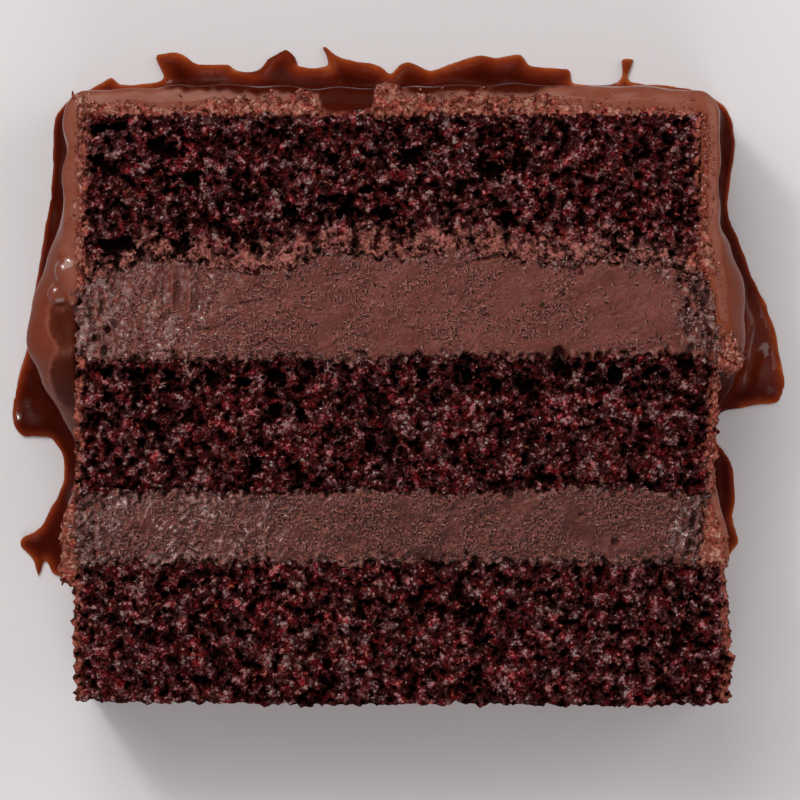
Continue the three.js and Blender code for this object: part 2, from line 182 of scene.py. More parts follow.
class GrainBlock:
    """A repeating block of smooth random values, all of about one wavelength."""

    SIZE = 96
    WAVES = 12
    SPREAD = 0.35
    TURN = (0.61, 0.43, 0.83)
    TILE = 192  # grains before their places repeat
    SWAY = 0.22  # how far the cells of the grains are bent, in widths
    DOME = 0.62  # the reach at which a dome ends

    def __init__(self, seed: int) -> None:
        """Fills the block.

        Args:
            seed: Fixes the random draw.
        """
        white = np.random.default_rng(seed).standard_normal((self.SIZE,) * 3)
        step = np.fft.fftfreq(self.SIZE) * self.SIZE
        half = np.fft.rfftfreq(self.SIZE) * self.SIZE
        waves = np.sqrt(step[:, None, None] ** 2 + step[None, :, None] ** 2 + half[None, None, :] ** 2)
        band = np.exp(-(((waves - self.WAVES) / (self.SPREAD * self.WAVES)) ** 2))
        values = np.fft.irfftn(np.fft.rfftn(white) * band, s=white.shape)
        self.values = (values / values.std()).astype(np.float32)
        ca, sa = math.cos(self.TURN[0]), math.sin(self.TURN[0])
        cb, sb = math.cos(self.TURN[1]), math.sin(self.TURN[1])
        cc, sc = math.cos(self.TURN[2]), math.sin(self.TURN[2])
        about_x = np.array([[1, 0, 0], [0, ca, -sa], [0, sa, ca]])
        about_y = np.array([[cb, 0, sb], [0, 1, 0], [-sb, 0, cb]])
        about_z = np.array([[cc, -sc, 0], [sc, cc, 0], [0, 0, 1]])
        self.turn = (about_z @ about_y @ about_x).astype(np.float32)

    def at(self, x: Array, y: Array, z: Array, wavelength: float) -> Array:
        """Reads the grain at points.

        Args:
            x, y, z: Coordinates that broadcast together.
            wavelength: The size of a grain and the gap beside it.

        Returns:
            Values about zero with a spread of one.
        """
        scale = np.float32(self.SIZE / self.WAVES / wavelength)
        total = None
        turned = [scale * (row[0] * x + row[1] * y + row[2] * z) for row in self.turn]
        floors = [np.floor(c).astype(np.int32) for c in turned]
        parts = [(c - f).astype(np.float32) for c, f in zip(turned, floors)]
        low = [f % self.SIZE for f in floors]
        high = [(f + 1) % self.SIZE for f in floors]
        for corner in range(8):
            bits = [(corner >> n) & 1 for n in range(3)]
            index = tuple(high[n] if bits[n] else low[n] for n in range(3))
            weight = 1
            for n in range(3):
                weight = weight * (parts[n] if bits[n] else 1 - parts[n])
            term = weight * self.values[index]
            total = term if total is None else total + term
        return total

    def granules(self, x: Array, y: Array, size: float, seed: int) -> tuple[Array, Array]:
        """Covers a plane in rounded grains that differ in size, place and tone.

        Args:
            x, y: Coordinates of the same shape.
            size: The usual width of a grain.
            seed: Fixes where the grains lie.

        Returns:
            The height of a dome over each grain, from 0 to 1, and a tone from 0 to 1 that each grain holds.
        """
        bend = self.SWAY * size
        place_x = (x + bend * self.at(x, y, np.float32(5.0 + seed), 1.3 * size)) / size
        place_y = (y + bend * self.at(y, x, np.float32(9.0 + seed), 1.3 * size)) / size
        draws = np.random.default_rng(seed).random((4, self.TILE, self.TILE), np.float32)
        cell_x, cell_y = np.floor(place_x).astype(np.int32), np.floor(place_y).astype(np.int32)
        nearest = np.full(x.shape, 9, np.float32)
        tone = np.zeros(x.shape, np.float32)
        for step_x in (-1, 0, 1):
            for step_y in (-1, 0, 1):
                near_x, near_y = cell_x + step_x, cell_y + step_y
                jump_x, jump_y, wide, shade = draws[:, near_x % self.TILE, near_y % self.TILE]
                off = (place_x - near_x - jump_x) ** 2 + (place_y - near_y - jump_y) ** 2
                off = off / (0.45 + 0.75 * wide)
                closer = off < nearest
                nearest = np.where(closer, off, nearest)
                tone = np.where(closer, shade, tone)
        return np.sqrt(np.clip(1 - nearest / self.DOME, 0, 1)), tone


def roughened(points: Table, grain: GrainBlock, swing: float) -> Table:
    """A curve through the same points with small crags in it.

    Args:
        points: Rows of [x, y] in rising order of x.
        grain: The random values.
        swing: How far the crags usually reach, in millimetres.

    Returns:
        Closely spaced rows.
    """
    x = np.linspace(points[0][0], points[-1][0], 240, dtype=np.float32)
    level = np.float32(7 * points[0][1])
    crags = 0.8 * grain.at(x, level, np.float32(2), 3.2) + 0.6 * grain.at(x, level, np.float32(5), 1.3)
    return np.stack([x, through(points, x) + swing * crags], 1).tolist()


@dataclass
class Grid:
    """Places along each axis where a field is known. They may be closer together where detail is fine."""

    x: Array
    y: Array
    z: Array

    @staticmethod
    def even(low: float, high: float, step: float) -> Array:
        """Places from low to high, about a step apart."""
        count = max(2, int(round((high - low) / step)) + 1)
        return np.linspace(low, high, count, dtype=np.float32)

    @staticmethod
    def joined(*runs: Array) -> Array:
        """One rising list of places from several runs that share their ends."""
        return np.unique(np.concatenate(runs).astype(np.float32))

    def open(self) -> tuple[Array, Array, Array]:
        """The axes shaped so that they broadcast to the whole grid."""
        return self.x[:, None, None], self.y[None, :, None], self.z[None, None, :]


@dataclass
class Skin:
    """A surface: points in millimetres, four-sided faces, and many-sided faces that close flat openings."""

    points: Array
    quads: Array
    caps: list[Array]

    @staticmethod
    def wrap(field: Array, grid: Grid) -> "Skin":
        """Wraps a skin round the part of a grid where the field is below zero.

        Args:
            field: Values on the grid, above zero all over its border.
            grid: The places of those values.

        Returns:
            The skin, with its faces pointing out.
        """
        inside = field < 0
        shape = tuple(n - 1 for n in field.shape)
        count = np.zeros(shape, np.int8)
        for corner in range(8):
            cut = tuple(slice((corner >> n) & 1, ((corner >> n) & 1) + shape[n]) for n in range(3))
            count += inside[cut]
        cells = np.argwhere((count > 0) & (count < 8)).astype(np.int32)
        number = np.full(shape, -1, np.int32)
        number[tuple(cells.T)] = np.arange(len(cells), dtype=np.int32)
        total = np.zeros((len(cells), 3), np.float32)
        hits = np.zeros(len(cells), np.float32)
        for axis in range(3):
            others = [n for n in range(3) if n != axis]
            for a, b in ((0, 0), (0, 1), (1, 0), (1, 1)):
                start = np.zeros(3, np.int32)
                start[others] = (a, b)
                end = start.copy()
                end[axis] = 1
                near = field[tuple((cells + start).T)]
                far = field[tuple((cells + end).T)]
                crosses = (near < 0) != (far < 0)
                share = np.where(crosses, near / np.where(crosses, near - far, 1), 0)
                place = np.tile(start.astype(np.float32), (len(cells), 1))
                place[:, axis] = share
                total += place * crosses[:, None]
                hits += crosses
        local = total / hits[:, None]
        points = np.empty_like(local)
        for n, places in enumerate((grid.x, grid.y, grid.z)):
            low, high = places[cells[:, n]], places[cells[:, n] + 1]
            points[:, n] = low + local[:, n] * (high - low)
        faces = [Skin._across(inside, number, axis) for axis in range(3)]
        return Skin(points, np.concatenate(faces), [])

    @staticmethod
    def _across(inside: Array, number: Array, axis: int) -> Array:
        """The faces where the field changes sign along one axis.

        Args:
            inside: Where the field is below zero.
            number: The point of each cell.
            axis: The axis to look along.

        Returns:
            Four-sided faces that point out.
        """
        u, v = (axis + 1) % 3, (axis + 2) % 3
        size = inside.shape[axis]
        near = np.take(inside, range(size - 1), axis)
        far = np.take(inside, range(1, size), axis)
        flips = np.argwhere(near != far).astype(np.int32)
        keep = (flips[:, u] > 0) & (flips[:, v] > 0)
        keep &= (flips[:, u] < inside.shape[u] - 1) & (flips[:, v] < inside.shape[v] - 1)
        flips = flips[keep]
        outward = near[tuple(flips.T)]
        corners = []
        for du, dv in ((-1, -1), (0, -1), (0, 0), (-1, 0)):
            cell = flips.copy()
            cell[:, u] += du
            cell[:, v] += dv
            corners.append(number[tuple(cell.T)])
        quads = np.stack(corners, 1)
        quads[~outward] = quads[~outward][:, ::-1]
        return quads

    def flat_below(self, level: float) -> "Skin":
        """Swaps the many small faces that lie flat at one height for one face across each opening.

        Args:
            level: The height of the flat underside.

        Returns:
            The same solid with fewer faces.
        """
        flat = self.points[:, 2] < level + 1e-4
        under = flat[self.quads].all(1)
        kept = self.quads[~under]
        dropped = self.quads[under]
        edges = np.concatenate([dropped[:, [a, (a + 1) % 4]] for a in range(4)])
        seen = set(map(tuple, edges.tolist()))
        follow = {a: b for a, b in seen if (b, a) not in seen}
        caps = []
        while follow:
            first, to = follow.popitem()
            loop = [first]
            while to != first and to in follow:
                loop.append(to)
                to = follow.pop(to)
            if to == first and len(loop) > 2:
                caps.append(np.array(loop, np.int32))
        return Skin(self.points, kept, caps).trimmed()

    def trimmed(self) -> "Skin":
        """Drops points that no face uses.

        Returns:
            The same skin with only the points that it needs.
        """
        used = np.zeros(len(self.points), bool)
        used[self.quads.ravel()] = True
        for cap in self.caps:
            used[cap] = True
        renumber = np.cumsum(used, dtype=np.int32) - 1
        return Skin(self.points[used], renumber[self.quads], [renumber[cap] for cap in self.caps])

    def to_object(self, name: str, marks: dict[str, Array]) -> bpy.types.Object:
        """Makes a Blender object of the skin.

        Args:
            name: The piece's name.
            marks: Values for each point that its finish reads, by name.

        Returns:
            The object, in metres.
        """
        mesh = bpy.data.meshes.new(name)
        loops = np.concatenate([self.quads.ravel(), *self.caps]).astype(np.int32)
        corners = self.quads.shape[1]
        sizes = np.array([corners] * len(self.quads) + [len(cap) for cap in self.caps], np.int32)
        mesh.vertices.add(len(self.points))
        mesh.vertices.foreach_set("co", (self.points * METRES).astype(np.float32).ravel())
        mesh.loops.add(len(loops))
        mesh.loops.foreach_set("vertex_index", loops)
        mesh.polygons.add(len(sizes))
        mesh.polygons.foreach_set("loop_start", np.concatenate([[0], np.cumsum(sizes)[:-1]]).astype(np.int32))
        mesh.polygons.foreach_set("use_smooth", np.ones(len(sizes), bool))
        for mark, values in marks.items():
            layer = mesh.attributes.new(mark, "FLOAT", "POINT")
            layer.data.foreach_set("value", values.astype(np.float32))
        mesh.update(calc_edges=True)
        mesh.validate()
        made = bpy.data.objects.new(name, mesh)
        bpy.context.scene.collection.objects.link(made)
        return made


# ---- Shader helpers ----


class NodeSheet:
    """A node tree with short ways to add and join nodes."""

    def __init__(self, tree: bpy.types.NodeTree) -> None:
        """Keeps the tree."""
        self.tree = tree

    def add(self, kind: str, settings: dict | None = None, **inputs: object) -> bpy.types.Node:
        """Adds a node.

        Args:
            kind: The node's type without its "ShaderNode" prefix.
            settings: Properties of the node.
            **inputs: Values or sockets for its inputs, with _ for a space in their names.

        Returns:
            The node.
        """
        node = self.tree.nodes.new("ShaderNode" + kind)
        for key, value in (settings or {}).items():
            setattr(node, key, value)
        for key, value in inputs.items():
            self.feed(node.inputs[key.replace("_", " ")], value)
        return node

    def feed(self, socket: Socket, value: object) -> None:
        """Joins a socket to another, or sets it.

        Args:
            socket: The socket to fill.
            value: Another socket, or a plain value.
        """
        if isinstance(value, Socket):
            self.tree.links.new(value, socket)
        else:
            socket.default_value = value

    def grain(self, vector: Socket, size: float, detail: float = 2.0) -> Socket:
        """Noise between 0 and 1 with grains of about a size in millimetres."""
        node = self.add("TexNoise", Vector=vector, Scale=1 / (size * METRES), Detail=detail, Roughness=0.6)
        return node.outputs["Fac"]

    def math(self, operation: str, *values: object) -> Socket:
        """The result of a Math node.

        Args:
            operation: What the node does.
            *values: Its inputs.

        Returns:
            Its output.
        """
        node = self.add("Math", {"operation": operation})
        for socket, value in zip(node.inputs, values):
            self.feed(socket, value)
        return node.outputs[0]

    def range(self, value: object, low: float, high: float, to_low: float = 0, to_high: float = 1) -> object:
        """A value carried from one range to another, held at both ends.

        Args:
            value: What is carried over.
            low, high: The range that it comes from.
            to_low, to_high: The range that it goes to.

        Returns:
            The carried value.
        """
        settings = {"interpolation_type": "SMOOTHSTEP"}
        node = self.add("MapRange", settings, Value=value, From_Min=low, From_Max=high)
        self.feed(node.inputs["To Min"], to_low)
        self.feed(node.inputs["To Max"], to_high)
        return node.outputs["Result"]

    def mix(self, share: object, first: object, second: object, blend: str = "MIX") -> Socket:
        """A mix of two colours.

        Args:
            share: How much of the second colour there is.
            first, second: The colours.
            blend: How they are mixed.

        Returns:
            The mixed colour.
        """
        node = self.add("Mix", {"data_type": "RGBA", "blend_type": blend})
        self.feed(node.inputs[0], share)
        self.feed(node.inputs[6], (*first, 1) if isinstance(first, tuple) else first)
        self.feed(node.inputs[7], (*second, 1) if isinstance(second, tuple) else second)
        return node.outputs[2]

    def scale(self, colour: object, factor: object) -> Socket:
        """A colour made brighter or darker."""
        return self.add("VectorMath", {"operation": "SCALE"}, Vector=colour, Scale=factor).outputs[0]

    def colours(self, value: object, stops: tuple[tuple[float, Colour], ...]) -> Socket:
        """A colour read from a row of stops.

        Args:
            value: Where to read.
            stops: A place and a colour each.

        Returns:
            The colour.
        """
        node = self.add("ValToRGB", Fac=value)
        made = node.color_ramp.elements
        for place, _ in stops[2:]:
            made.new(place)
        for stop, (place, colour) in zip(made, stops):
            stop.position = place
            stop.color = (*colour, 1)
        return node.outputs["Color"]

    def moved(self, vector: object, step: object, operation: str = "ADD") -> Socket:
        """A vector with another added or taken away.

        Args:
            vector: The vector.
            step: What is added or taken away.
            operation: ADD or SUBTRACT.

        Returns:
            The moved vector.
        """
        node = self.add("VectorMath", {"operation": operation})
        self.feed(node.inputs[0], vector)
        self.feed(node.inputs[1], step)
        return node.outputs[0]

    def first(self, colour: Socket) -> Socket:
        """The red channel of a cell's colour, which is a chance value of that cell."""
        return self.add("SeparateColor", Color=colour).outputs[0]

    def clipped(self, value: Socket) -> Socket:
        """A value held between 0 and 1."""
        return self.math("MINIMUM", self.math("MAXIMUM", value, 0.0), 1.0)

    def mark(self, name: str) -> Socket:
        """A value that each point of the mesh holds."""
        return self.add("Attribute", {"attribute_name": name}).outputs["Fac"]


class Kind(Enum):
    """The kinds of socket that a node group may have."""

    VECTOR = "NodeSocketVector"
    COLOUR = "NodeSocketColor"
    VALUE = "NodeSocketFloat"


class EffectGroup:
    """A shader node group while it is filled: its tree, its sheet, and the sockets at both ends."""

    def __init__(self, name: str, inputs: dict[str, Kind], outputs: dict[str, Kind]) -> None:
        """Starts the group.

        Args:
            name: The group's name.
            inputs: Names and kinds of what it reads.
            outputs: Names and kinds of what it puts out.
        """
        self.tree = bpy.data.node_groups.new(name, "ShaderNodeTree")
        for label, kind in inputs.items():
            self.tree.interface.new_socket(label, in_out="INPUT", socket_type=kind.value)
        for label, kind in outputs.items():
            self.tree.interface.new_socket(label, in_out="OUTPUT", socket_type=kind.value)
        self.sheet = NodeSheet(self.tree)
        self.given = self.tree.nodes.new("NodeGroupInput").outputs
        self.made = self.tree.nodes.new("NodeGroupOutput").inputs

    def put(self, **values: Socket) -> bpy.types.NodeTree:
        """Feeds the outputs and returns the finished tree.

        Args:
            **values: The value for each output.

        Returns:
            The tree.
        """
        for label, value in values.items():
            self.sheet.feed(self.made[label], value)
        return self.tree


class Effects:
    """The effects that finishes use, each a node group built once."""

    NICKS = ((38, 1.6, 0.62), (100, 1.6, 0.70), (-10, 2.0, 0.68), (66, 1.4, 0.46))  # lean, stretch and size
    NICK_SWAY = 0.8
    NICK_EDGE = 0.05  # half the width of the step between slit and lip
    NICKS_LEFT_OUT = 0.975  # the share that is left out where nothing is torn

    def __init__(self) -> None:
        """Builds the groups."""
        self.crumb_tint = self._crumb_tint()
        self.grains = self._grains()
        self.fine_relief = self._fine_relief()
        self.wet_patches = self._wet_patches()
        self.nicks = self._nicks()

    @staticmethod
    def _crumb_tint() -> bpy.types.NodeTree:
        """Turns each crumb's baked colour towards crimson or ash, and speckles it.

        Returns:
            The group.
        """
        inputs = {
            "Vector": Kind.VECTOR,
            "Color": Kind.COLOUR,
            "Crimson": Kind.COLOUR,
            "Ash": Kind.COLOUR,
            "Tone": Kind.VALUE,
            "Share": Kind.VALUE,
        }
        group = EffectGroup("crumb_tint", inputs, {"Color": Kind.COLOUR})
        sheet, given = group.sheet, group.given
        speckle = 0.5  # width of a fleck in a crumb's tone
        uneven = sheet.math("MULTIPLY_ADD", sheet.grain(given["Vector"], speckle, 2), 0.5, -0.25)
        uneven = sheet.math("ADD", given["Tone"], uneven)
        red = sheet.math("MULTIPLY", sheet.range(uneven, 0.22, 0.52, 1, 0), given["Share"])
        grey = sheet.math("MULTIPLY", sheet.range(uneven, 0.50, 0.80), given["Share"])
        body = sheet.mix(red, given["Color"], given["Crimson"], "MULTIPLY")
        return group.put(Color=sheet.mix(grey, body, given["Ash"], "MULTIPLY"))

    @staticmethod
    def _grains() -> bpy.types.NodeTree:
        """Covers a surface in tiny grains, each with a dome and a tone of its own.

        Returns:
            The group.
        """
        inputs = {"Vector": Kind.VECTOR, "Scale": Kind.VALUE}
        group = EffectGroup("grains", inputs, {"Dome": Kind.VALUE, "Tone": Kind.VALUE})
        sheet, scale = group.sheet, group.given["Scale"]
        bend = sheet.add("TexNoise", Vector=group.given["Vector"], Scale=scale, Detail=1.0).outputs["Color"]
        bent = sheet.moved(group.given["Vector"], sheet.scale(bend, sheet.math("DIVIDE", 0.9, scale)))
        cells = sheet.add("TexVoronoi", Vector=bent, Scale=scale)
        dome = sheet.range(cells.outputs["Distance"], 0.1, 0.75, 1, 0)
        return group.put(Dome=dome, Tone=sheet.first(cells.outputs["Color"]))

    @staticmethod
    def _fine_relief() -> bpy.types.NodeTree:
        """Height of the finest bumps, from coarse and fine grain.

        Returns:
            The group.
        """
        inputs = {"Vector": Kind.VECTOR, "Coarse": Kind.VALUE, "Fine": Kind.VALUE}
        group = EffectGroup("fine_relief", inputs, {"Height": Kind.VALUE})
        sheet, given = group.sheet, group.given
        coarse = sheet.math("MULTIPLY", sheet.grain(given["Vector"], 0.6, 2), given["Coarse"])
        fine = sheet.math("MULTIPLY", sheet.grain(given["Vector"], 0.32, 0), given["Fine"])
        return group.put(Height=sheet.math("ADD", coarse, fine))

    @classmethod
    def _nicks(cls) -> bpy.types.NodeTree:
        """Short nicks in a soft cut surface: 1 on the lip of each, painted pale as a painted highlight, -1 in
        the slit beside it, painted dark as painted shade.

        Returns:
            The group.
        """
        group = EffectGroup("nicks", {"Vector": Kind.VECTOR, "Spread": Kind.VALUE}, {"Lip": Kind.VALUE})
        sheet, vector = group.sheet, group.given["Vector"]
        sway = cls.NICK_SWAY * METRES
        bend = sheet.add("TexNoise", Vector=vector, Scale=1 / sway, Detail=1.0).outputs["Color"]
        bent = sheet.moved(vector, sheet.scale(bend, sway))
        patch = sheet.range(sheet.grain(vector, 2.6, 2), 0.36, 0.64, 0.2, 1.6)
        share = sheet.math("MULTIPLY", group.given["Spread"], patch)
        share = sheet.math("MULTIPLY_ADD", share, -1.0, cls.NICKS_LEFT_OUT)
        total = None
        for lean, stretch, size in cls.NICKS:
            turn = {"Rotation": (0, 0, math.radians(lean)), "Scale": (stretch, 1, 1)}
            turned = sheet.add("Mapping", {"vector_type": "TEXTURE"}, Vector=bent, **turn).outputs[0]
            cells = sheet.add("TexVoronoi", Vector=turned, Scale=1 / (size * METRES))
            off = sheet.moved(turned, cells.outputs["Position"], "SUBTRACT")
            across = sheet.add("SeparateXYZ", Vector=off).outputs["Y"]
            side = sheet.range(across, -cls.NICK_EDGE * METRES, cls.NICK_EDGE * METRES, -1, 1)
            near = sheet.range(cells.outputs["Distance"], 0.27, 0.42, 1, 0)
            kept = sheet.math("GREATER_THAN", sheet.first(cells.outputs["Color"]), share)
            nick = sheet.math("MULTIPLY", sheet.math("MULTIPLY", side, near), kept)
            total = nick if total is None else sheet.math("ADD", total, nick)
        return group.put(Lip=total)

    @staticmethod
    def _wet_patches() -> bpy.types.NodeTree:
        """Roughness that falls where the surface is wet.

        Returns:
            The group.
        """
        inputs = {"Vector": Kind.VECTOR, "Dry": Kind.VALUE, "Wet": Kind.VALUE, "Wetness": Kind.VALUE}
        group = EffectGroup("wet_patches", inputs, {"Roughness": Kind.VALUE})
        sheet, given = group.sheet, group.given
        patch = sheet.range(sheet.grain(given["Vector"], 3.2, 3), 0.42, 0.62, 0, 0.6)
        share = sheet.math("MINIMUM", sheet.math("ADD", patch, given["Wetness"]), 1.0)
        drop = sheet.math("SUBTRACT", given["Wet"], given["Dry"])
        return group.put(Roughness=sheet.math("MULTIPLY_ADD", share, drop, given["Dry"]))


class Finish:
    """What every finish shares: a material with one Principled shader, and its groups."""

    def __init__(self, name: str, effects: Effects) -> None:
        """Starts an empty material.

        Args:
            name: The material's name.
            effects: The groups that finishes share.
        """
        self.material = bpy.data.materials.new(name)
        self.material.use_nodes = True
        self.effects = effects
        self.sheet = NodeSheet(self.material.node_tree)
        self.shader = self.material.node_tree.nodes["Principled BSDF"]
        self.place = self.sheet.add("TexCoord").outputs["Object"]

    def group(self, tree: bpy.types.NodeTree, **inputs: object) -> bpy.types.bpy_prop_collection:
        """Places a group and returns its outputs.

        Args:
            tree: The group.
            **inputs: A value or socket for each input.

        Returns:
            Its output sockets.
        """
        node = self.sheet.add("Group", {"node_tree": tree})
        for key, value in inputs.items():
            is_colour = isinstance(value, tuple) and len(value) == 3
            self.sheet.feed(node.inputs[key], (*value, 1) if is_colour else value)
        return node.outputs

    def bump(self, height: Socket, depth: float, strength: float) -> None:
        """Leans the shader's normal by a height from 0 to 1, where 1 is a depth in millimetres."""
        node = self.sheet.add("Bump", Height=height, Distance=depth * METRES, Strength=strength)
        self.sheet.feed(self.shader.inputs["Normal"], node.outputs["Normal"])

    def set(self, **values: object) -> None:
        """Sets the shader's own sockets, with _ for a space in their names."""
        for key, value in values.items():
            self.shader.inputs[key.replace("_", " ")].default_value = value

    def feed(self, **values: object) -> None:
        """Feeds the shader's sockets from nodes, with _ for a space in their names."""
        for key, value in values.items():
            self.sheet.feed(self.shader.inputs[key.replace("_", " ")], value)


@dataclass(frozen=True)
class SpongeFinish:
    """Moist dark sponge: near black in its pores as painted shade, deep red between, and pinkish brown on the
    crumbs' tips as painted highlight.
    """

    name: str = "sponge_crumb"
    # Colours along the light mark: the dark end is painted shade for the pores, the pale end a painted
    # highlight for the crumbs' tips.
    tones: tuple[tuple[float, Colour], ...] = (
        (0.0, (0.0070, 0.0006, 0.0004)),
        (0.15, (0.0110, 0.0008, 0.0006)),
        (0.36, (0.0205, 0.0015, 0.0013)),
        (0.50, (0.0390, 0.0043, 0.0044)),
        (0.64, (0.0780, 0.0155, 0.0160)),
        (0.85, (0.1650, 0.0540, 0.0550)),
        (1.0, (0.3400, 0.1540, 0.1530)),
    )
    crimson: Colour = (1.50, 0.22, 0.30)
    ash: Colour = (0.70, 1.22, 1.14)
    smear: Colour = (0.152, 0.050, 0.039)
    ember: Colour = (0.300, 0.075, 0.022)
    fleck: float = 0.30  # how much lighter the small grains are: their own random tone, and a painted highlight on each grain's dome
    grain: float = 0.46  # width of the smallest grains
    crust: Colour = (0.330, 0.085, 0.056)

    def build(self, effects: Effects) -> bpy.types.Material:
        """Makes the material.

        Args:
            effects: The shared groups.

        Returns:
            The material.
        """
        finish = Finish(self.name, effects)
        sheet = finish.sheet
        grains = finish.group(effects.grains, Vector=finish.place, Scale=1 / (self.grain * METRES))
        light, tone = sheet.mark("light"), sheet.mark("tone")
        # Small grains are lighter by their own tone and by a painted highlight on each dome, only where the
        # light mark is high.
        lit = sheet.math("MULTIPLY_ADD", grains["Tone"], 1.5 * self.fleck, -0.75 * self.fleck)
        lit = sheet.math("MULTIPLY_ADD", sheet.range(grains["Tone"], 0.80, 0.95), 0.5 * self.fleck, lit)
        lit = sheet.math("MULTIPLY_ADD", grains["Dome"], 0.4 * self.fleck, lit)
        lit = sheet.math("MULTIPLY", lit, sheet.range(light, 0.05, 0.6, 0.35, 1.0))
        light = sheet.math("ADD", light, lit)
        tone = sheet.math("MULTIPLY_ADD", grains["Tone"], 0.3, sheet.math("MULTIPLY", tone, 0.7))
        tint = sheet.colours(light, self.tones)
        tint = finish.group(
            effects.crumb_tint,
            Vector=finish.place,
            Color=tint,
            Crimson=self.crimson,
            Ash=self.ash,
            Tone=tone,
            Share=sheet.range(light, 0.45, 0.9, 1.0, 0.82),
        )["Color"]
        rare = sheet.range(grains["Tone"], 0.982, 0.992)
        ember = sheet.math("MULTIPLY", rare, sheet.range(light, 0.45, 0.62))
        tint = sheet.mix(sheet.math("MULTIPLY", ember, 0.4), tint, self.ember)
        smear = sheet.scale(self.smear, sheet.range(light, 0.20, 0.95, 0.15, 2.6))
        tint = sheet.mix(sheet.mark("smear"), tint, smear)
        patchy = sheet.range(sheet.grain(finish.place, 0.8), 0.35, 0.6, 0.4, 1.0)
        crust = sheet.scale(self.crust, sheet.range(light, 0.15, 0.75, 0.30, 1.35))
        tint = sheet.mix(sheet.math("MULTIPLY", sheet.mark("crust"), patchy), tint, crust)
        finish.feed(Base_Color=tint)
        finish.feed(Roughness=sheet.range(sheet.grain(finish.place, 0.5), 0.38, 0.62, 0.30, 0.8))
        relief = finish.group(effects.fine_relief, Vector=finish.place, Coarse=0.35, Fine=0.35)["Height"]
        relief = sheet.math("MULTIPLY_ADD", grains["Dome"], 0.14, relief)
        finish.bump(relief, depth=1.2, strength=1.0)
        moist = sheet.range(sheet.grain(finish.place, 0.9, 2), 0.60, 0.74)
        finish.feed(Coat_Weight=sheet.math("MULTIPLY", moist, sheet.range(light, 0.1, 0.5)))
        finish.set(Specular_IOR_Level=0.05, Coat_Roughness=0.16)
        return finish.material


@dataclass(frozen=True)
class GanacheFinish:
    """Cut ganache: satin, grey-brown, with short nicks, wet patches and fine drag marks."""

    name: str = "ganache"
    # painted shade in the slits, scratch bottoms, crevices and hollows
    dark: Colour = (0.015, 0.0028, 0.0020)
    mid: Colour = (0.116, 0.0275, 0.0195)
    pale: Colour = (0.136, 0.0360, 0.0265)
    sheen: Colour = (0.250, 0.145, 0.130)  # painted sheen: grey where the wet skin would reflect the lamps
    lip: Colour = (0.350, 0.152, 0.124)  # painted highlight on the lit side of a nick
    lip_share: float = 0.56

    def build(self, effects: Effects) -> bpy.types.Material:
        """Makes the material.

        Args:
            effects: The shared groups.

        Returns:
            The material.
        """
        finish = Finish(self.name, effects)
        sheet = finish.sheet
        broad = sheet.range(sheet.grain(finish.place, 5.0, 4), 0.35, 0.65)
        body = sheet.mix(broad, self.mid, self.pale)
        fine = sheet.range(sheet.grain(finish.place, 0.30, 1), 0.30, 0.70, 0.94, 1.06)
        middle = sheet.range(sheet.grain(finish.place, 0.6, 2), 0.30, 0.70, 0.94, 1.06)
        body = sheet.scale(body, sheet.math("MULTIPLY", fine, middle))
        # The light mark paints light and shade over the body.
        body = sheet.scale(body, sheet.range(sheet.mark("light"), -1, 1, 0.25, 1.75))
        # Nicks: a painted highlight on the lip of each and painted shade in the slit beside it.
        nicks = finish.group(effects.nicks, Vector=finish.place, Spread=sheet.mark("torn"))["Lip"]
        lip = sheet.math("MULTIPLY", sheet.clipped(nicks), self.lip_share)
        body = sheet.mix(lip, body, self.lip)
        body = sheet.mix(sheet.clipped(sheet.math("MULTIPLY", nicks, -1.0)), body, self.dark)
        # Painted sheen: the lit wet places turn grey.
        lit = sheet.range(sheet.mark("light"), -0.5, 0.5, 0.1, 0.7)
        body = sheet.mix(sheet.math("MULTIPLY", sheet.mark("wet"), lit), body, self.sheen)
        # Painted shade in the hollows.
        body = sheet.mix(sheet.mark("hollow"), body, self.dark)
        finish.feed(Base_Color=body)
        wet = finish.group(
            effects.wet_patches, Vector=finish.place, Dry=0.46, Wet=0.22, Wetness=sheet.mark("wet")
        )["Roughness"]
        finish.feed(Roughness=wet)
        firm = sheet.range(sheet.mark("hollow"), 0.0, 0.35, 1, 0)
        finish.feed(Coat_Weight=sheet.math("MULTIPLY", sheet.mark("wet"), firm))
        relief = finish.group(effects.fine_relief, Vector=finish.place, Coarse=0.12, Fine=0.05)["Height"]
        relief = sheet.math("MULTIPLY_ADD", nicks, 0.035, relief)
        finish.bump(relief, depth=1.6, strength=1.0)
        finish.set(Specular_IOR_Level=0.16, Coat_Roughness=0.13)
        return finish.material


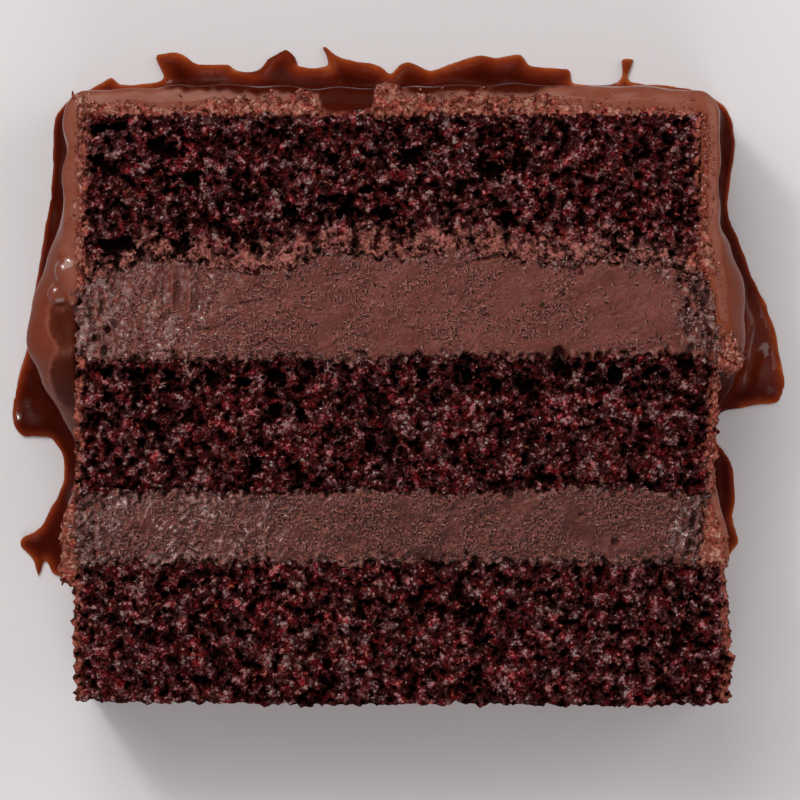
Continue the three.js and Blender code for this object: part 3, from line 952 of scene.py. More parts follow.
@dataclass(frozen=True)
class GlazeFinish:
    """Poured glaze: milky brown on the cake, dark red-brown in the pool, orange where it runs out thin."""

    name: str = "glaze"
    coat: Colour = (0.205, 0.058, 0.034)
    milky: Colour = (0.240, 0.084, 0.056)
    flank: Colour = (0.155, 0.031, 0.0145)
    warm: Colour = (0.170, 0.036, 0.015)
    amber: Colour = (0.072, 0.013, 0.006)
    pool: tuple[tuple[float, Colour], ...] = (
        (0.0, (0.36, 0.095, 0.030)),
        (0.10, (0.25, 0.042, 0.009)),
        (0.30, (0.155, 0.020, 0.005)),
        (0.62, (0.086, 0.0085, 0.0028)),
        (1.0, (0.044, 0.0040, 0.0014)),
    )

    def build(self, effects: Effects) -> bpy.types.Material:
        """Makes the material.

        Args:
            effects: The shared groups.

        Returns:
            The material.
        """
        finish = Finish(self.name, effects)
        sheet = finish.sheet
        cloud = sheet.range(sheet.grain(finish.place, 6.0, 3), 0.4, 0.65)
        streak_place = sheet.add("Mapping", Vector=finish.place, Scale=(0.25, 1.0, 1.0)).outputs[0]
        streak = sheet.range(sheet.grain(streak_place, 1.6, 2), 0.42, 0.62)
        coat = sheet.mix(cloud, self.coat, self.milky)
        coat = sheet.mix(sheet.math("MULTIPLY", streak, 0.35), coat, self.flank)
        coat = sheet.mix(sheet.mark("flank"), coat, self.flank)
        coat = sheet.mix(sheet.mark("warm"), coat, self.warm)
        coat = sheet.mix(sheet.mark("amber"), coat, self.amber)
        uneven = sheet.math("MULTIPLY_ADD", sheet.grain(finish.place, 3.0, 3), 0.50, -0.25)
        deep = sheet.math("ADD", sheet.mark("depth"), uneven)
        body = sheet.mix(sheet.mark("settled"), coat, sheet.colours(deep, self.pool))
        finish.feed(Base_Color=body)
        wet = finish.group(
            effects.wet_patches, Vector=finish.place, Dry=0.42, Wet=0.24, Wetness=sheet.mark("settled")
        )["Roughness"]
        finish.feed(Roughness=wet)
        finish.feed(Coat_Weight=sheet.mark("wet"))
        relief = finish.group(effects.fine_relief, Vector=finish.place, Coarse=0.8, Fine=0.2)["Height"]
        finish.bump(relief, depth=0.06, strength=0.6)
        finish.set(Specular_IOR_Level=0.02, Coat_Roughness=0.09)
        return finish.material


@dataclass(frozen=True)
class FloorFinish:
    """The pale floor."""

    name: str = "pale_floor"
    colour: Colour = (0.66, 0.64, 0.655)

    def build(self) -> bpy.types.Material:
        """Makes the material.

        Returns:
            The material.
        """
        material = bpy.data.materials.new(self.name)
        material.use_nodes = True
        shader = material.node_tree.nodes["Principled BSDF"]
        shader.inputs["Base Color"].default_value = (*self.colour, 1)
        shader.inputs["Roughness"].default_value = 0.6
        return material


# ---- The cake ----


@dataclass
class LayerShape:
    """The outline of a layer in the cut face: its lower and upper edge by x, and its ends by y."""

    lower: Table
    upper: Table
    right: Table
    left: Table

    def spread(self, across: Array, up: Array) -> tuple[Array, Array]:
        """Places shares of the outline's width and height in the cut face.

        Args:
            across: Shares from the left end to the right end.
            up: Shares from the lower edge to the upper edge.

        Returns:
            x and y of each point.
        """
        x = self.left[0][1] + (self.right[0][1] - self.left[0][1]) * across
        y = 0 * x
        for _ in range(3):
            low, high = through(self.lower, x) - TOUCH, through(self.upper, x) + TOUCH
            y = low + (high - low) * up
            left, right = through(self.left, y) - TOUCH, through(self.right, y) + TOUCH
            x = left + (right - left) * across
        return x, y

    def gaps(self, x: Array, y: Array) -> tuple[Array, Array, Array, Array]:
        """How far points lie inside the lower edge, upper edge, left end and right end.

        Args:
            x, y: Places in the cut face.

        Returns:
            Four distances at each place, below zero outside the outline.
        """
        return (
            y - through(self.lower, x),
            through(self.upper, x) - y,
            x - through(self.left, y),
            through(self.right, y) - x,
        )


@dataclass
class Face:
    """The points of a cut face while its relief is being made, and what the finish reads at each."""

    x: Array
    y: Array
    z: Array
    marks: dict[str, Array]


@dataclass
class CutLayer:
    """A layer of the slice: a fine relief over its cut face, with walls that run down to the floor."""

    grain: GrainBlock
    name: str
    shape: LayerShape
    seed: int
    node: str = ""  # the solid that it stands for, if any
    step: float = 0.185  # between points of the cut face
    wall_rows: int = 10
    skip: int = 2  # border points for each column of the walls
    ragged: float = 0.12  # how far its lower and upper edge wander
    ragged_ends: float = 0.20

    FADE = 0.7  # how far in the ragged border fades
    FIRST_DROP = 0.3  # of the walls' first row, so that their upper edge is crisp
    DROP_POWER = 1.15  # above 1, the walls' rows lie closer together near the cut face
    MEAN_DOME = 0.62  # the usual height of a grain's dome, for its tone
    DOME_LEVEL = 0.6  # the same for the relief

    def build(self) -> bpy.types.Object:
        """Makes the layer.

        Returns:
            The layer's mesh object.
        """
        tall = max(row[1] for row in self.shape.upper) - min(row[1] for row in self.shape.lower)
        wide = max(row[1] for row in self.shape.right) - min(row[1] for row in self.shape.left)
        columns = self.skip * round(wide / self.step / self.skip)
        lines = self.skip * round(tall / self.step / self.skip)
        across, up = np.meshgrid(
            np.linspace(0, 1, columns + 1, dtype=np.float32),
            np.linspace(0, 1, lines + 1, dtype=np.float32),
            indexing="ij",
        )
        x, y = self.shape.spread(across, up)
        x, y = self.tear(x, y)
        face = self.relief(x, y)
        return self.close(face)

    def shifted(self, x: Array, y: Array, size: float, lift: float = 0) -> Array:
        """Grain over the cut face that differs from layer to layer."""
        return self.grain.at(x + 31 * self.seed, y + 17 * lift, np.float32(13 * self.seed + 7 * lift), size)

    def layered(self, x: Array, y: Array, rows: Layers) -> Array:
        """Grains of several sizes added up."""
        return sum(strength * self.shifted(x, y, size, lift) for strength, size, lift in rows)

    def tear(self, x: Array, y: Array) -> tuple[Array, Array]:
        """Makes the outline ragged, and leaves the middle in place.

        Args:
            x, y: Places in the cut face.

        Returns:
            The moved places.
        """
        low, high, left, right = self.shape.gaps(x, y)
        seam = np.exp(-np.maximum(np.minimum(low, high), 0) / self.FADE)
        end = np.exp(-np.maximum(np.minimum(left, right), 0) / self.FADE)
        wave = self.layered(x, y, ((1, 2.1, 1), (0.7, 0.9, 2)))
        other = self.layered(x, y, ((1, 1.9, 3), (0.7, 0.8, 4)))
        return x + self.ragged_ends * end * wave, y + self.ragged * seam * other

    def relief(self, x: Array, y: Array) -> Face:
        """Gives the cut face its heights and marks."""
        raise NotImplementedError

    def floor(self) -> float:
        """The height of the underside."""
        return 0.0

    def wall_shift(self, x: Array, y: Array, z: Array) -> tuple[Array, Array]:
        """How far the walls bulge at points, and how deep their hollows are, for their painted shade."""
        shift = 0.10 * self.grain.at(x + 11 * self.seed, y, z, 2.4)
        return shift, np.zeros_like(shift)

    def close(self, face: Face) -> bpy.types.Object:
        """Hangs the walls on the border of the cut face and closes the underside.

        Args:
            face: The finished cut face.

        Returns:
            The layer's mesh object.
        """
        columns, lines = face.x.shape[0] - 1, face.x.shape[1] - 1
        number = np.arange(face.x.size, dtype=np.int32).reshape(face.x.shape)
        quads = np.stack([number[:-1, :-1], number[1:, :-1], number[1:, 1:], number[:-1, 1:]], -1)
        quads = quads.reshape(-1, 4)
        loop = np.concatenate([number[:-1, 0], number[-1, :-1], number[:0:-1, -1], number[0, :0:-1]])
        outward = np.zeros((len(loop), 2), np.float32)
        starts = np.cumsum([0, columns, lines, columns, lines])
        for start, end, way in zip(starts[:-1], starts[1:], ((0, -1), (1, 0), (0, 1), (-1, 0))):
            outward[start : end + 1] += way
        outward[0] += (-1, 0)
        outward /= np.linalg.norm(outward, axis=1, keepdims=True)
        hung = loop[:: self.skip]
        outward = outward[:: self.skip]
        top = np.stack([face.x.ravel()[hung], face.y.ravel()[hung], face.z.ravel()[hung]], 1)
        drops = np.linspace(0, 1, self.wall_rows + 1)[1:] ** self.DROP_POWER
        drops = np.concatenate([[self.FIRST_DROP * drops[0]], drops]).astype(np.float32)
        below, hollows = [], []
        for drop in drops:
            row = top.copy()
            row[:, 2] += (self.floor() - row[:, 2]) * drop
            shift, hollow = self.wall_shift(row[:, 0], row[:, 1], row[:, 2])
            settle = min(1.0, drop / max(drops[1], 1e-6))
            row[:, :2] += outward * (shift * settle)[:, None]
            below.append(row)
            hollows.append(hollow)
        count = len(hung)
        first = face.x.size + count * np.arange(len(drops), dtype=np.int32)[:, None]
        rings = first + np.arange(count, dtype=np.int32)[None, :]
        after = np.roll(rings, -1, axis=1)
        walls = np.stack([rings[:-1], rings[1:], after[1:], after[:-1]], -1).reshape(-1, 4)
        caps = [rings[-1][::-1]]
        for n in range(count):
            edge = np.take(loop, range(n * self.skip, (n + 1) * self.skip + 1), mode="wrap")
            caps.append(np.concatenate([[edge[0], rings[0][n], rings[0][(n + 1) % count]], edge[:0:-1]]))
        points = np.concatenate([np.stack([face.x.ravel(), face.y.ravel(), face.z.ravel()], 1), *below])
        hollow = np.concatenate(hollows)
        down = ramp(np.repeat(drops * THICKNESS, count), 0.3, 1.6)
        # Down the walls the marks turn to these: the pores are painted darker, as painted shade, and the
        # crust shows.
        on_wall = {
            "hollow": hollow,
            "light": 0.62 - 0.6 * hollow,
            "crust": 0.58 + 0 * hollow,
            "smear": 0 * hollow,
        }
        marks = {}
        for key, values in face.marks.items():
            fill = np.tile(values.ravel()[hung], len(drops))
            if key in on_wall:
                fill = fill + (on_wall[key] - fill) * down
            marks[key] = np.concatenate([values.ravel(), fill])
        return Skin(points, np.concatenate([quads, walls]), caps).to_object(self.name, marks)


@dataclass
class SpongeLayer(CutLayer):
    """One layer of sponge: its cut face is a rough crust of crumbs with open pores between."""

    smeared_low: bool = False  # whether the knife drew ganache over its lower edge
    holes: tuple[Spot, ...] = ()
    wall_pores: float = 0.0  # how deep the pores in its sides are
    bright: float = 0.334  # how light its crumbs are on the whole

    COARSE = 1.15  # width of the larger crumbs
    FINE = 0.62
    SWELLS = ((0.46, 3.4, 12), (0.24, 7.5, 6), (0.44, 1.8, 7))
    CONTRAST = 0.22  # how much lighter a high place is painted than a low one: painted highlight on crumbs, painted shade in pores
    PORE_DEPTH = 2.1
    HOLE_DEPTH = 3.2
    HOLE_SHADE = 2.6  # how much darker the deepest hole is painted, as painted shade, before CONTRAST

    def relief(self, x: Array, y: Array) -> Face:
        """Piles crumbs of several sizes on slow swells, and opens pores where both are low.

        Args:
            x, y: Places in the cut face.

        Returns:
            The face with its heights and marks.
        """
        low, high, left, right = self.shape.gaps(x, y)
        top = CUT_FACE + 0.14 * self.shifted(x, y, 9.0, 5)
        wander = self.shifted(x, y, 1.8, 8)
        smear = np.zeros_like(x)
        if self.smeared_low:
            smear = 1 - ramp(low + 0.9 * wander, 1.0, 5.4)
        edge = 1 - ramp(np.minimum(np.minimum(low, high), np.minimum(left, right)), 0.0, 0.9)
        coarse, tone = self.grain.granules(x, y, self.COARSE, 20 + self.seed)
        fine, fine_tone = self.grain.granules(x, y, self.FINE, 30 + self.seed)
        swell = self.layered(x, y, self.SWELLS)
        crumb = 1.2 * (coarse - self.MEAN_DOME) + (fine - self.MEAN_DOME)
        depth = self.PORE_DEPTH * ramp(-swell - crumb - 0.8 * smear, 0.1, 1.8)
        rise = swell + 1.35 * crumb + 0.45 * self.shifted(x, y, 0.5, 11) + 0.5 * smear
        bite = 1 + 0.50 * wander + 0.36 * self.shifted(x, y, 0.8, 14)
        for hole in self.holes:
            reach = spot_reach(hole, x, y) * np.maximum(bite, 0.3)
            depth = np.maximum(depth, self.HOLE_DEPTH * (1 - ramp(reach, 0.2, 1.15)))
            rise = rise - self.HOLE_SHADE * (1 - ramp(reach, 0.4, 1.4))
        gap = 0.25 + 0.25 * self.shifted(x, y, 3.0, 13)
        lumps = 0.30 * (coarse - self.DOME_LEVEL) + 0.22 * (fine - self.DOME_LEVEL) + 0.10 * swell
        z = top - depth + lumps - np.maximum(gap, 0) * edge
        crust = 1 - ramp(np.minimum(left, right) + 0.3 * wander, 0.4, 1.4)
        # The light mark paints shade into the pores and holes and a highlight onto the high crumbs.
        marks = {
            "light": np.clip(self.bright + self.CONTRAST * rise, 0, 1),
            "tone": 0.6 * tone + 0.4 * fine_tone,
            "smear": 0.82 * smear,
            "crust": 0.9 * crust,
        }
        return Face(x, y, z, marks)

    def wall_shift(self, x: Array, y: Array, z: Array) -> tuple[Array, Array]:
        """Baked sides: low lumps, with small pores where the crust is broken.

        Args:
            x, y, z: Places on the walls.

        Returns:
            How far each place bulges, and how deep it is hollowed, for its painted shade.
        """
        lumps = 0.16 * (np.abs(self.grain.at(x + 11 * self.seed, y, z, 2.2)) - 0.8)
        lumps += 0.08 * self.grain.at(x, y + 11 * self.seed, z, 1.2)
        pores = ramp(self.grain.at(x + 3, y + 5, z + 11 * self.seed, 2.6), 0.7, 1.5) * self.wall_pores
        return lumps - 0.7 * pores, pores


@dataclass
class CrumbDrift(CutLayer):
    """Crumb that the knife dragged over the glaze beside a layer: a thin granular crust on the cut face."""

    sunk: float = 1.5  # how far under the cut face the drift's underside lies
    lift: float = 0.25  # how far over it the drift stands
    hem: float = 0.7  # how wide its thin edge is

    COARSE = 0.95  # width of the larger crumbs
    FINE = 0.55
    SWELLS = ((0.40, 2.4, 2), (0.3, 1.1, 5))
    CONTRAST = 0.22  # how much lighter a high place is painted than a low one: painted highlight on crumbs, painted shade between them

    def floor(self) -> float:
        """The height of the underside."""
        return CUT_FACE - self.sunk

    def relief(self, x: Array, y: Array) -> Face:
        """Covers the drift in small lumps that thin out towards its edge.

        Args:
            x, y: Places in the cut face.

        Returns:
            The face with its heights and marks.
        """
        low, high, left, right = self.shape.gaps(x, y)
        inner = np.minimum(np.minimum(low, high), np.minimum(left, right))
        edge = 1 - ramp(inner + 0.36 * self.hem * self.shifted(x, y, 1.1, 1), 0.0, self.hem)
        coarse, tone = self.grain.granules(x, y, self.COARSE, 40 + self.seed)
        fine, _ = self.grain.granules(x, y, self.FINE, 50 + self.seed)
        crumb = (coarse - self.MEAN_DOME) + 0.9 * (fine - self.MEAN_DOME)
        rise = self.layered(x, y, self.SWELLS)
        rise += crumb
        z = CUT_FACE + self.lift
        z = z + 0.30 * (coarse - self.DOME_LEVEL) + 0.2 * (fine - self.DOME_LEVEL) - edge
        z = z - 0.9 * ramp(-rise, 0.5, 1.8)
        # Painted highlight on the high crumbs, painted shade between them.
        light = np.clip(0.5 + self.CONTRAST * rise, 0, 1)
        return Face(x, y, z, {"light": light, "tone": tone, "smear": 0 * x, "crust": 0 * x})


@dataclass(frozen=True)
class Scratch:
    """A groove in the ganache from one point to another, or a raised thread where its depth is below zero."""

    start_x: float
    start_y: float
    end_x: float
    end_y: float
    bow: float
    width: float
    depth: float
    dark: float = 0.7  # how much painted shade darkens its bottom

    def press(self, x: Array, y: Array) -> Array:
        """How deep the groove is at each point.

        Args:
            x, y: Places in the cut face.

        Returns:
            The depth at each place, in millimetres.
        """
        ax, ay = self.start_x, self.start_y
        length = math.hypot(self.end_x - ax, self.end_y - ay)
        ux, uy = (self.end_x - ax) / length, (self.end_y - ay) / length
        along = ((x - ax) * ux + (y - ay) * uy) / length
        off = -(x - ax) * uy + (y - ay) * ux - 4 * self.bow * along * (1 - along)
        taper = np.sqrt(np.clip(4 * along * (1 - along), 0, 1))
        wide = self.width * (0.35 + 0.65 * taper)
        inside = (along > 0) & (along < 1)
        return np.where(inside, self.depth * bell(off, wide) * taper, 0)


@dataclass(frozen=True)
class Comb:
    """The ridges that the knife left at the left end of a layer of ganache."""

    end: float  # the x where they stop
    depth: float
    lean: float  # degrees


@dataclass
class GanacheLayer(CutLayer):
    """One layer of ganache: smeared by the knife, torn along its edges and wet at its ends."""

    scratches: tuple[Scratch, ...] = ()
    calm: tuple[Spot, ...] = ()  # smooth patches
    shade: float = 0.0
    frayed: float = 0.3  # how torn the whole face is
    frayed_left: float = 0.0  # how much more for each millimetre to the left
    gritty: float = 1.0  # how high its folds and grit stand
    fold: float = 0.72  # how wide a pulled fold is
    swing: float = 0.48  # how much paler the side of a fold that faces the key lamp is painted, and how much darker the side away from it
    glow: float = 0.05  # how much paler the left end is painted, as painted sheen
    creased: float = 0.3  # how much of the folds is soft puffs with sharp creases between
    satin: float = -22.0  # where the painted sheen of pale upright strokes at the left end stops
    lumpy_left: float = 8.0  # how far in the lumps at each end reach
    lumpy_right: float = 5.0
    comb: Comb = Comb(-33.0, 0.25, 90.0)

    SUNK = 0.30  # how far the ganache lies under the cut face
    SLIT_DEPTH = 0.25
    CREASE_DEPTH = 0.08
    LUMP_HEIGHT = 0.62
    CREVICE_DEPTH = 0.35
    LEANS = ((38.0, 1), (104.0, 2), (-24.0, 3))  # degrees, and a lift for each

    def wrinkles(self, x: Array, y: Array) -> Array:
        """Short pulled folds that lean one way in one place and another way in the next.

        Args:
            x, y: Places in the cut face.

        Returns:
            Their heights, about zero.
        """
        bend = 0.30 * self.shifted(x, y, 2.2, 22)
        total, weight = 0, 0
        for degrees, lift in self.LEANS:
            along, across = turned(x, y, degrees)
            folds = self.shifted(0.55 * along, across + bend, self.fold, 23 + lift)
            puffs = self.shifted(0.6 * along, across + bend, 2 * self.fold, 29 + lift)
            puffs = 1.5 * np.abs(puffs) - 1.0
            folds = folds + self.creased * (puffs - folds)
            share = np.exp(1.8 * self.shifted(x, y, 3.4, 27 + lift))
            total, weight = total + share * folds, weight + share
        return total / weight * 1.15

    def facing_key(self, z: Array) -> Array:
        """How far each place faces the key lamp, from -1 to 1: painted light on the side of a fold towards
        the lamp, painted shade on the side away.
        """
        slope_x, slope_y = np.gradient(z, self.step)
        return np.tanh(1.3 * (0.5 * slope_x - 0.86 * slope_y))

    def tearing(self, x: Array, y: Array, wander: Array) -> Array:
        """How torn each place is, from 0 to 1.

        Args:
            x, y: Places in the cut face.
            wander: Random values that shift the borders.

        Returns:
            The share that is torn.
        """
        torn = self.layered(x, y, ((1, 9.0, 1), (0.8, 3.4, 2))) + self.frayed
        torn = ramp(torn - self.frayed_left * x, -2.2, 2.2)
        for patch in self.calm:
            torn = torn * (0.12 + 0.88 * ramp(spot_reach(patch, x, y) + 0.2 * wander, 0.3, 1.5))
        return torn

    def ridges(self, x: Array, y: Array, wander: Array) -> Array:
        """The heights of the knife's ridges, about zero.

        Args:
            x, y: Places in the cut face.
            wander: Random values that shift where they stop.

        Returns:
            Their heights.
        """
        along, across = turned(x, y, self.comb.lean)
        wide = self.shifted(0.22 * along, across, 1.25, 14)
        narrow = self.shifted(0.3 * along, across, 0.6, 15)
        return (wide + 0.6 * narrow) * (1 - ramp(x + 2.5 * wander, self.comb.end - 4, self.comb.end + 5))

    def lumps(self, x: Array, y: Array, bend: Array) -> Array:
        """The heights of the soft lumps and plates at the edges and ends, about zero.

        Args:
            x, y: Places in the cut face.
            bend: Random values that bend them.

        Returns:
            Their heights.
        """
        plates = 0.75 - np.abs(self.shifted(x + bend, 0.45 * y, 1.25, 33))
        lumps = 0.46 * self.shifted(x, 0.6 * y + bend, 1.9, 16) + 0.50 * plates
        return lumps + 0.12 * self.shifted(x, 0.6 * y, 0.8, 18)

    def creases(self, x: Array, y: Array, bend: Array) -> Array:
        """Thin winding lines, from 0 to 1 in their middle."""
        lines = bell(self.shifted(x + bend, 0.8 * y - bend, 1.7, 20), 0.20)
        return lines * ramp(self.shifted(x, y, 2.4, 21), -0.6, 0.8)

    def strokes(self, x: Array, y: Array, wander: Array, drag: Array) -> Array:
        """Pale upright strokes at the left end, as painted sheen, from 0 to 1.

        Args:
            x, y: Places in the cut face.
            wander: Random values that shift where they stop.
            drag: The heights of the pulled folds.

        Returns:
            Their strength.
        """
        strokes = self.shifted(x + 0.3 * wander, 0.4 * y, 0.55, 35)
        strokes = strokes + 0.7 * self.shifted(x, 0.5 * y, 3.0, 36)
        reach = 1 - ramp(x + 3.0 * wander, self.satin - 16, self.satin)
        return reach * ramp(strokes + 1.2 * drag, 0.2, 2.0)

    def relief(self, x: Array, y: Array) -> Face:
        """Lays smooth patches, torn patches, edges, ends and scratches over each other.

        Args:
            x, y: Places in the cut face.

        Returns:
            The face with its heights and marks.
        """
        low, high, left, right = self.shape.gaps(x, y)
        wander = self.shifted(x, y, 2.2, 7)
        bend = 0.35 * self.shifted(x, y, 2.6, 19)
        torn = self.tearing(x, y, wander)
        end_left = 1 - ramp(left + 0.9 * wander, 0.3 * self.lumpy_left, self.lumpy_left)
        end_right = 1 - ramp(right + 0.7 * wander, 0.3 * self.lumpy_right, self.lumpy_right)
        end = np.maximum(end_left, end_right)
        edge = 1 - ramp(np.minimum(low, high) + 0.35 * wander, 0.2, 1.7)
        rough = np.maximum(end, edge)
        broad = self.layered(x, y, ((0.15, 12.0, 3), (0.07, 4.0, 4)))
        drag = self.wrinkles(x, y)
        grit = self.shifted(x, y, 0.55, 6)
        comb = self.ridges(x, y, wander) * (1 - 0.5 * edge)
        slits = ramp(self.shifted(0.4 * x, y, 0.8, 8), 1.5, 2.1) * torn
        lumps = self.lumps(x, y, bend)
        crease = self.creases(x, y, bend) * (0.15 + 0.85 * torn)
        pressed, dark = np.zeros_like(x), np.zeros_like(x)
        for scratch in self.scratches:
            groove = scratch.press(x, y)
            pressed, dark = pressed + groove, dark + scratch.dark * np.maximum(groove, 0)
        crevice = (1 - ramp(np.minimum(low, high) + 0.2 * wander, 0.1, 0.6)) * ramp(wander, -0.5, 0.4)

        folds = (0.09 * drag + 0.015 * grit) * (0.20 + 0.9 * torn) * self.gritty
        z = CUT_FACE - self.SUNK + broad + folds
        z = z - self.SLIT_DEPTH * slits - self.CREASE_DEPTH * crease + self.LUMP_HEIGHT * lumps * rough
        z = z - 0.25 * edge + self.comb.depth * comb - pressed
        z = z - self.CREVICE_DEPTH * crevice

        # The light mark paints light and shade: paler on slopes that face the key lamp, on crests of folds,
        # ridges and lumps; darker in creases, along edges and in scratches.
        light = 0.10 * drag * (0.25 + 0.75 * torn) * self.gritty + self.swing * self.facing_key(z)
        light = light + 0.10 * comb + 0.32 * lumps * rough - 0.05 * edge - 0.06 * crease
        light = light + self.glow * end_left - 0.20 * end_right
        light = light + self.shade + 0.05 * self.shifted(x, y, 1.3, 17) - 0.4 * pressed
        # The hollow mark paints shade into slits, scratch bottoms, the seam's crevice and the gaps between
        # lumps.
        hollow = np.clip(0.4 * slits + dark + 0.75 * crevice, 0, 1)
        hollow = np.maximum(hollow, np.clip(rough * (-1.7 * lumps - 0.35), 0, 0.95))
        wet = np.clip(1.4 * end + 0.6 * edge, 0, 1) * ramp(self.shifted(x, y, 1.4, 34), -0.3, 0.8)
        # Painted sheen: pale upright strokes at the left end, wet and lighter.
        satin = self.strokes(x, y, wander, drag)
        wet = np.maximum(wet, 0.85 * satin)
        light = light + 0.25 * satin
        return Face(x, y, z, {"hollow": hollow, "wet": wet, "torn": torn, "light": np.clip(light, -1, 1)})


@dataclass(frozen=True)
class Blob:
    """A rounded dent or bead in the glaze: its middle, its half widths, and how far it is turned in plan."""

    middle: tuple[float, float, float]
    half: tuple[float, float, float]
    turn: float = 0.0  # degrees

    def reach(self, x: Array, y: Array, z: float | Array) -> Array:
        """Distance from its middle in half widths.

        Args:
            x, y, z: Places.

        Returns:
            1 on its surface, and less inside.
        """
        along, across = turned(x - self.middle[0], y - self.middle[1], self.turn)
        total = (along / self.half[0]) ** 2 + (across / self.half[1]) ** 2
        return np.sqrt(total + ((z - self.middle[2]) / self.half[2]) ** 2)

    def field(self, x: Array, y: Array, z: float | Array) -> Array:
        """About the distance from its surface, below zero inside."""
        return (self.reach(x, y, z) - 1) * min(self.half)


@dataclass
class Glaze:
    """The poured glaze: the coat on the cake's sides and top, its sagging folds, and the pool at its foot."""

    grain: GrainBlock
    name: str = "glaze_coat"
    node: str = "glaze"
    step: float = 0.404

    LEFT_FOOT = -33.9
    RIGHT_FOOT = -30.9
    # [place, rim, belly, foot, crest]: reach out of the cake at the cut face, at its fullest and at the pool,
    # and how high it clings as a fraction of the thickness.
    LEFT = [
        [-33.9, 2.0, 2.2, 2.8, 1], [-24.5, 2.0, 2.3, 3.2, 1], [-21.5, 0.9, 1.5, 3.0, 0.95],
        [-18.5, 0.4, 1.3, 3.0, 0.4], [-12, 0.5, 1.6, 3.2, 0.3], [-6, 0.7, 4.2, 6.0, 0.6],
        [-1, 1.0, 6.8, 8.2, 0.85], [3, 1.3, 8.2, 9.2, 0.96], [8, 1.6, 8.2, 9.2, 1], [14, 2.0, 7.1, 8.0, 1],
        [18, 2.4, 5.9, 6.8, 1], [22, 2.8, 4.2, 5.4, 1], [28, 2.7, 3.2, 4.6, 1], [40, 2.5, 3.0, 4.4, 1],
    ]
    TOP = [
        [-50, 3.4, 3.8, 4.6, 1], [-40, 3.8, 4.2, 5.2, 1], [0, 4.1, 4.4, 5.4, 1], [40, 4.0, 4.3, 5.1, 1],
        [48, 3.4, 3.9, 4.8, 1],
    ]
    RIGHT = [
        [-30.9, 4.0, 4.0, 4.4, 1], [-26, 3.9, 3.9, 4.2, 1], [-21.5, 1.9, 2.1, 3.2, 0.98],
        [-17, 0.4, 0.9, 2.2, 0.9], [-14, 0.1, 0.9, 1.8, 0.5], [-9, 0.3, 0.9, 1.5, 0.4],
        [-6.5, 0.5, 1.4, 2.2, 0.3], [-3, 0.9, 4.0, 6.2, 0.32], [0, 1.2, 4.4, 6.2, 0.55],
        [3, 1.3, 4.7, 6.2, 0.9], [8, 1.5, 4.9, 6.2, 1], [12, 1.8, 5.6, 6.4, 1], [16, 2.2, 6.0, 6.9, 1],
        [20, 2.6, 4.6, 5.6, 1], [23.5, 2.7, 3.2, 4.7, 1], [40, 2.8, 3.2, 4.8, 1],
    ]
    POOL_EDGE = [
        [-53.4, -34.0], [-56.2, -33.9], [-57.5, -33.3], [-58.7, -31.4], [-59.7, -34.3], [-60.6, -31.3],
        [-62.6, -29.2], [-62.4, -27.5], [-59.5, -25.8], [-57.0, -21.3], [-55.4, -17.7], [-55.7, -13.9],
        [-57.8, -11.1], [-60.6, -10.9], [-62.3, -10.8], [-63.8, -9.1], [-64.1, -5.6], [-62.5, 1.0],
        [-61.5, 4.3], [-60.3, 13.5], [-58.7, 23.4], [-57.5, 31.7], [-57.0, 42.0], [-53.7, 45.3],
        [-49.5, 47.6], [-47.6, 48.7], [-45.9, 47.3], [-41.3, 47.6], [-39.0, 48.6], [-40.4, 52.1],
        [-38.8, 52.7], [-36.3, 52.7], [-33.0, 50.9], [-28.3, 50.9], [-27.0, 49.9], [-23.6, 49.8],
        [-21.4, 51.9], [-18.9, 53.4], [-16.9, 52.1], [-16.6, 50.6], [-11.6, 50.5], [-12.8, 53.6],
        [-12.2, 53.9], [-9.8, 52.1], [-3.2, 50.6], [-1.4, 49.3], [0.0, 50.8], [1.8, 51.2], [5.1, 49.9],
        [8.4, 50.9], [13.4, 52.4], [16.2, 51.9], [20.0, 52.4], [21.7, 50.6], [28.0, 50.1], [29.0, 47.4],
        [35.0, 47.3], [37.0, 49.0], [36.8, 51.6], [38.9, 51.6], [37.9, 49.0], [38.8, 47.8], [48.2, 46.8],
        [52.4, 44.9], [54.9, 42.3], [55.7, 37.5], [54.4, 27.5], [55.7, 23.4], [58.5, 15.9], [61.8, 8.5],
        [63.6, 0.2], [64.1, -2.6], [62.8, -5.2], [59.0, -5.6], [56.0, -6.3], [52.9, -6.9], [52.3, -8.5],
        [52.4, -11.6], [54.0, -13.1], [55.3, -16.0], [55.7, -21.5], [55.3, -24.2], [56.3, -28.0],
        [55.4, -29.6], [54.4, -30.9],
    ]
    INNER_EDGE = [[49.5, -30.9], [48.0, 40.5], [-50.0, 40.5], [-51.0, -34.0]]
    POOL_HEIGHT = 1.5
    MENISCUS = 1.7  # how far in the pool's rounded edge reaches
    FALL_FROM = 0.80  # the share of the height where the belly starts to draw in
    SHOULDER = 1.3  # how far down the rim is rounded
    # How far in the pool turns fully dark, by y.
    CLEAR_TO = [
        [-40, 1.9], [-26, 1.9], [-20, 1.2], [-12, 1.2], [-6, 1.9], [4, 1.9], [12, 1.2], [20, 1.0],
        [43, 1.1], [48, 3.0],
    ]
    HOLLOWS = (
        Blob((-53.6, 7.8, 33.2), (2.7, 4.6, 4.6), 6),
        Blob((-53.6, -3.4, 32.0), (2.6, 5.6, 5.4), -10),
    )
    # Inside this line the left bulge is clear and dark: [y, x].
    LIP = [
        [-12, -52.8], [-9, -53.8], [-6, -55.3], [-2, -56.3], [1.6, -55.9], [3.4, -55.0], [5.5, -56.0],
        [9, -56.4], [12, -55.4],
    ]
